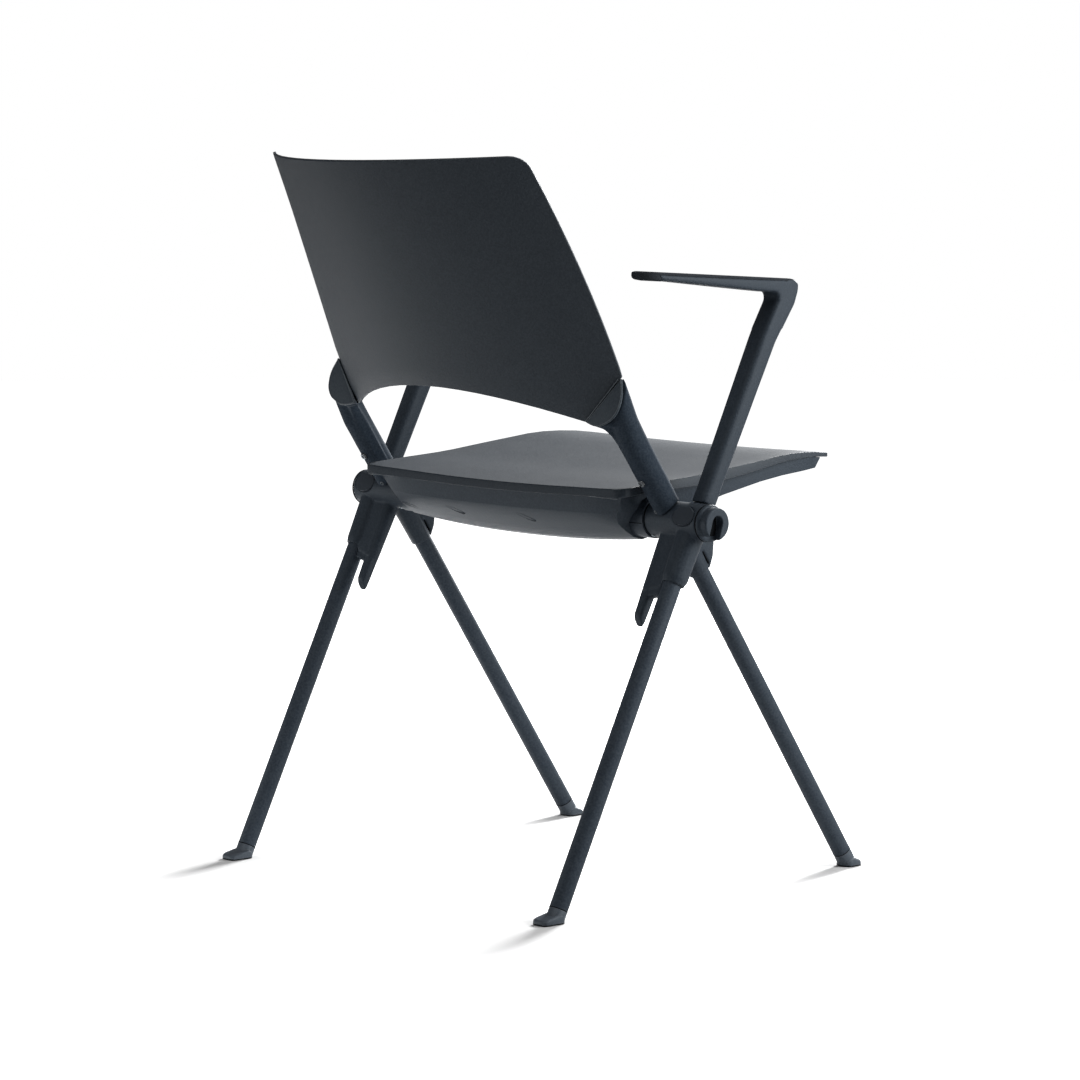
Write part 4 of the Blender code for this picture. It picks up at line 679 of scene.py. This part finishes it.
# stage: pale floor, soft light and the camera
stageLook = {"floorSize": 16.0, "ambient": 0.135,
             "floorColour": (0.76, 0.76, 0.76, 1.0), "bounceColour": (0.50, 0.50, 0.50, 1.0),
             "floorDrop": 0.0004, "nearLift": 0.0, "farLift": 1.0, "liftFrom": (0.06, 0.95),
             "streakWidth": 0.11, "streakHeel": 0.07,
             "streakLength": {"frontLeft": 0.15, "frontRight": 0.27, "rearLeft": 0.35, "rearRight": 0.62},
             "bounce": dict(strength=1.02, centre=(0.40, 0.32, 0.0), radius=(0.50, 0.06)),
             "sheen": dict(strength=3.2, centre=(0.92, -0.36, 0.0), radius=(0.78, 0.28))}
feet = []
for end in ("front", "rear"):
    for side in sides:
        low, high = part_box(f"{end}_foot_{side}")
        feet.append((end + side.title(), ((low.x + high.x) / 2, (low.y + high.y) / 2, 0.0)))
lamps = {
    "keyLight": dict(place=(0.90, -2.75, 1.80), aim=(0.0, 0.0, 0.2), size=(0.6, 0.6), power=190.0),
    "topLight": dict(place=(0.60, -0.40, 3.00), aim=(0.60, -0.40, 0.0), size=(1.4, 1.4), power=9.0),
    "rightFill": dict(place=(-1.30, -0.80, 0.95), aim=(-0.2, 0.0, 0.40), size=(0.7, 1.3), power=24.0),
    "leftFill": dict(place=(1.5, 1.4, 0.20), aim=(0.14, 0.05, 0.36), size=(0.8, 0.3), power=0.62, spread=46.0),
    "rearFill": dict(place=(-0.8, 2.2, 2.9), aim=(0.0, 0.1, 0.3), size=(1.4, 1.4), power=20.0),
}


def makeFloor():
    bm = bmesh.new()
    bmesh.ops.create_circle(bm, cap_ends=True, segments=96, radius=stageLook["floorSize"] / 2)
    bmesh.ops.translate(bm, verts=bm.verts, vec=(0.0, 0.0, -stageLook["floorDrop"]))
    mesh = bpy.data.meshes.new("floor")
    bm.to_mesh(mesh)
    bm.free()
    floor = bpy.data.objects.new("floor", mesh)
    bpy.context.scene.collection.objects.link(floor)
    material = bpy.data.materials.new("paleFloor")
    material.use_nodes = True
    tree = material.node_tree
    tree.nodes.clear()
    leave = addNode(tree, "ShaderNodeOutputMaterial")
    matte = addNode(tree, "ShaderNodeBsdfDiffuse")
    path = addNode(tree, "ShaderNodeLightPath")
    # to the chair's rays the floor is darker than to the camera, which weakens the light it bounces
    shade = addNode(tree, "ShaderNodeMix", data_type="RGBA")
    shade.inputs["A"].default_value = stageLook["bounceColour"]
    shade.inputs["B"].default_value = stageLook["floorColour"]
    tree.links.new(path.outputs["Is Camera Ray"], shade.inputs["Factor"])
    tree.links.new(shade.outputs["Result"], matte.inputs["Color"])
    coords = addNode(tree, "ShaderNodeTexCoord").outputs["Object"]
    # to the camera the floor glows white, painted light that hides the chair's shadows except in streaks behind each
    # foot
    nearest = None
    keyPlace = lamps["keyLight"]["place"]
    streak = Vector((-keyPlace[0], -keyPlace[1], 0.0)).normalized()  # the way the feet's shadows fall
    for name, foot in feet:
        apart = addNode(tree, "ShaderNodeVectorMath", operation="SUBTRACT")
        tree.links.new(coords, apart.inputs[0])
        apart.inputs[1].default_value = foot
        parts = []
        for direction in (streak, Vector((-streak.y, streak.x, 0.0))):
            dot = addNode(tree, "ShaderNodeVectorMath", operation="DOT_PRODUCT")
            tree.links.new(apart.outputs[0], dot.inputs[0])
            dot.inputs[1].default_value = direction
            parts.append(dot.outputs["Value"])
        ahead = mathNode(tree, "MULTIPLY", parts[0], 1.0 / stageLook["streakLength"][name])
        behind = mathNode(tree, "MULTIPLY", parts[0], -1.0 / stageLook["streakHeel"])
        along = mathNode(tree, "MAXIMUM", ahead, behind)
        across = mathNode(tree, "MULTIPLY", parts[1], 1.0 / stageLook["streakWidth"])
        alongSquare = mathNode(tree, "MULTIPLY", along, along)
        acrossSquare = mathNode(tree, "MULTIPLY", across, across)
        reach = mathNode(tree, "SQRT", mathNode(tree, "ADD", alongSquare, acrossSquare))
        nearest = mathNode(tree, "MINIMUM", reach, nearest) if nearest else reach
    lift = addNode(tree, "ShaderNodeMapRange", interpolation_type="SMOOTHSTEP")
    lift.inputs["From Min"].default_value, lift.inputs["From Max"].default_value = stageLook["liftFrom"]
    lift.inputs["To Min"].default_value = stageLook["nearLift"]
    lift.inputs["To Max"].default_value = stageLook["farLift"]
    tree.links.new(nearest, lift.inputs["Value"])
    glow = addNode(tree, "ShaderNodeEmission")
    # unseen by the camera the floor glows in two patches: painted bounce light for diffuse rays, a painted sheen for
    # glossy rays
    patches = []
    for look in (stageLook["bounce"], stageLook["sheen"]):
        apart = addNode(tree, "ShaderNodeVectorMath", operation="DISTANCE")
        tree.links.new(coords, apart.inputs[0])
        apart.inputs[1].default_value = look["centre"]
        patch = addNode(tree, "ShaderNodeMapRange", interpolation_type="SMOOTHSTEP")
        patch.inputs["From Min"].default_value, patch.inputs["From Max"].default_value = look["radius"]
        patch.inputs["To Max"].default_value = look["strength"]
        tree.links.new(apart.outputs["Value"], patch.inputs["Value"])
        patches.append(patch.outputs["Result"])
    bounce = addNode(tree, "ShaderNodeMix", data_type="FLOAT")
    tree.links.new(path.outputs["Is Glossy Ray"], bounce.inputs["Factor"])
    tree.links.new(patches[0], bounce.inputs["A"])
    tree.links.new(patches[1], bounce.inputs["B"])
    choice = addNode(tree, "ShaderNodeMix", data_type="FLOAT")
    tree.links.new(path.outputs["Is Camera Ray"], choice.inputs["Factor"])
    tree.links.new(bounce.outputs["Result"], choice.inputs["A"])
    tree.links.new(lift.outputs["Result"], choice.inputs["B"])
    tree.links.new(choice.outputs["Result"], glow.inputs["Strength"])
    both = addNode(tree, "ShaderNodeAddShader")
    tree.links.new(matte.outputs[0], both.inputs[0])
    tree.links.new(glow.outputs[0], both.inputs[1])
    tree.links.new(both.outputs[0], leave.inputs["Surface"])
    mesh.materials.append(material)
    return floor


def makeWorld():
    world = bpy.data.worlds.new("studio")
    bpy.context.scene.world = world
    world.use_nodes = True
    tree = world.node_tree
    tree.nodes.clear()
    leave = addNode(tree, "ShaderNodeOutputWorld")
    ambient = addNode(tree, "ShaderNodeBackground")
    ambient.inputs["Color"].default_value = (1.0, 1.0, 1.0, 1.0)
    ambient.inputs["Strength"].default_value = stageLook["ambient"]
    white = addNode(tree, "ShaderNodeBackground")
    white.inputs["Color"].default_value = (1.0, 1.0, 1.0, 1.0)
    path = addNode(tree, "ShaderNodeLightPath")
    choice = addNode(tree, "ShaderNodeMixShader")
    tree.links.new(path.outputs["Is Camera Ray"], choice.inputs[0])
    tree.links.new(ambient.outputs[0], choice.inputs[1])
    tree.links.new(white.outputs[0], choice.inputs[2])
    tree.links.new(choice.outputs[0], leave.inputs["Surface"])


def softLight(name, place, aim, size, power, spread=180.0):
    data = bpy.data.lights.new(name, "AREA")
    data.shape = "RECTANGLE"
    data.size, data.size_y = size
    data.energy = power
    data.spread = math.radians(spread)
    light = bpy.data.objects.new(name, data)
    bpy.context.scene.collection.objects.link(light)
    light.location = place
    light.rotation_euler = (Vector(aim) - Vector(place)).to_track_quat("-Z", "Y").to_euler()
    return light


cameraLook = {"sensor": 36.0, "lens": 146.8, "yaw": 47.98, "pitch": 5.98, "place": (-3.585, 3.215, 0.8686)}


def makeCamera():
    data = bpy.data.cameras.new("camera")
    data.sensor_fit = "HORIZONTAL"
    data.sensor_width = cameraLook["sensor"]
    data.lens = cameraLook["lens"]
    camera = bpy.data.objects.new("camera", data)
    bpy.context.scene.collection.objects.link(camera)
    yaw = math.radians(cameraLook["yaw"])
    pitch = math.radians(cameraLook["pitch"])
    aim = Vector((math.sin(yaw) * math.cos(pitch), -math.cos(yaw) * math.cos(pitch), -math.sin(pitch)))
    camera.location = Vector(cameraLook["place"]) + Vector((0.0, hubCentre.y, 0.0))
    camera.rotation_euler = aim.to_track_quat("-Z", "Y").to_euler()
    bpy.context.scene.camera = camera


makeFloor()
makeWorld()
for name, lamp in lamps.items():
    softLight(name, **lamp)
makeCamera()
bpy.context.scene.view_settings.view_transform = "Standard"
print("stage ready")

print("scene ready")
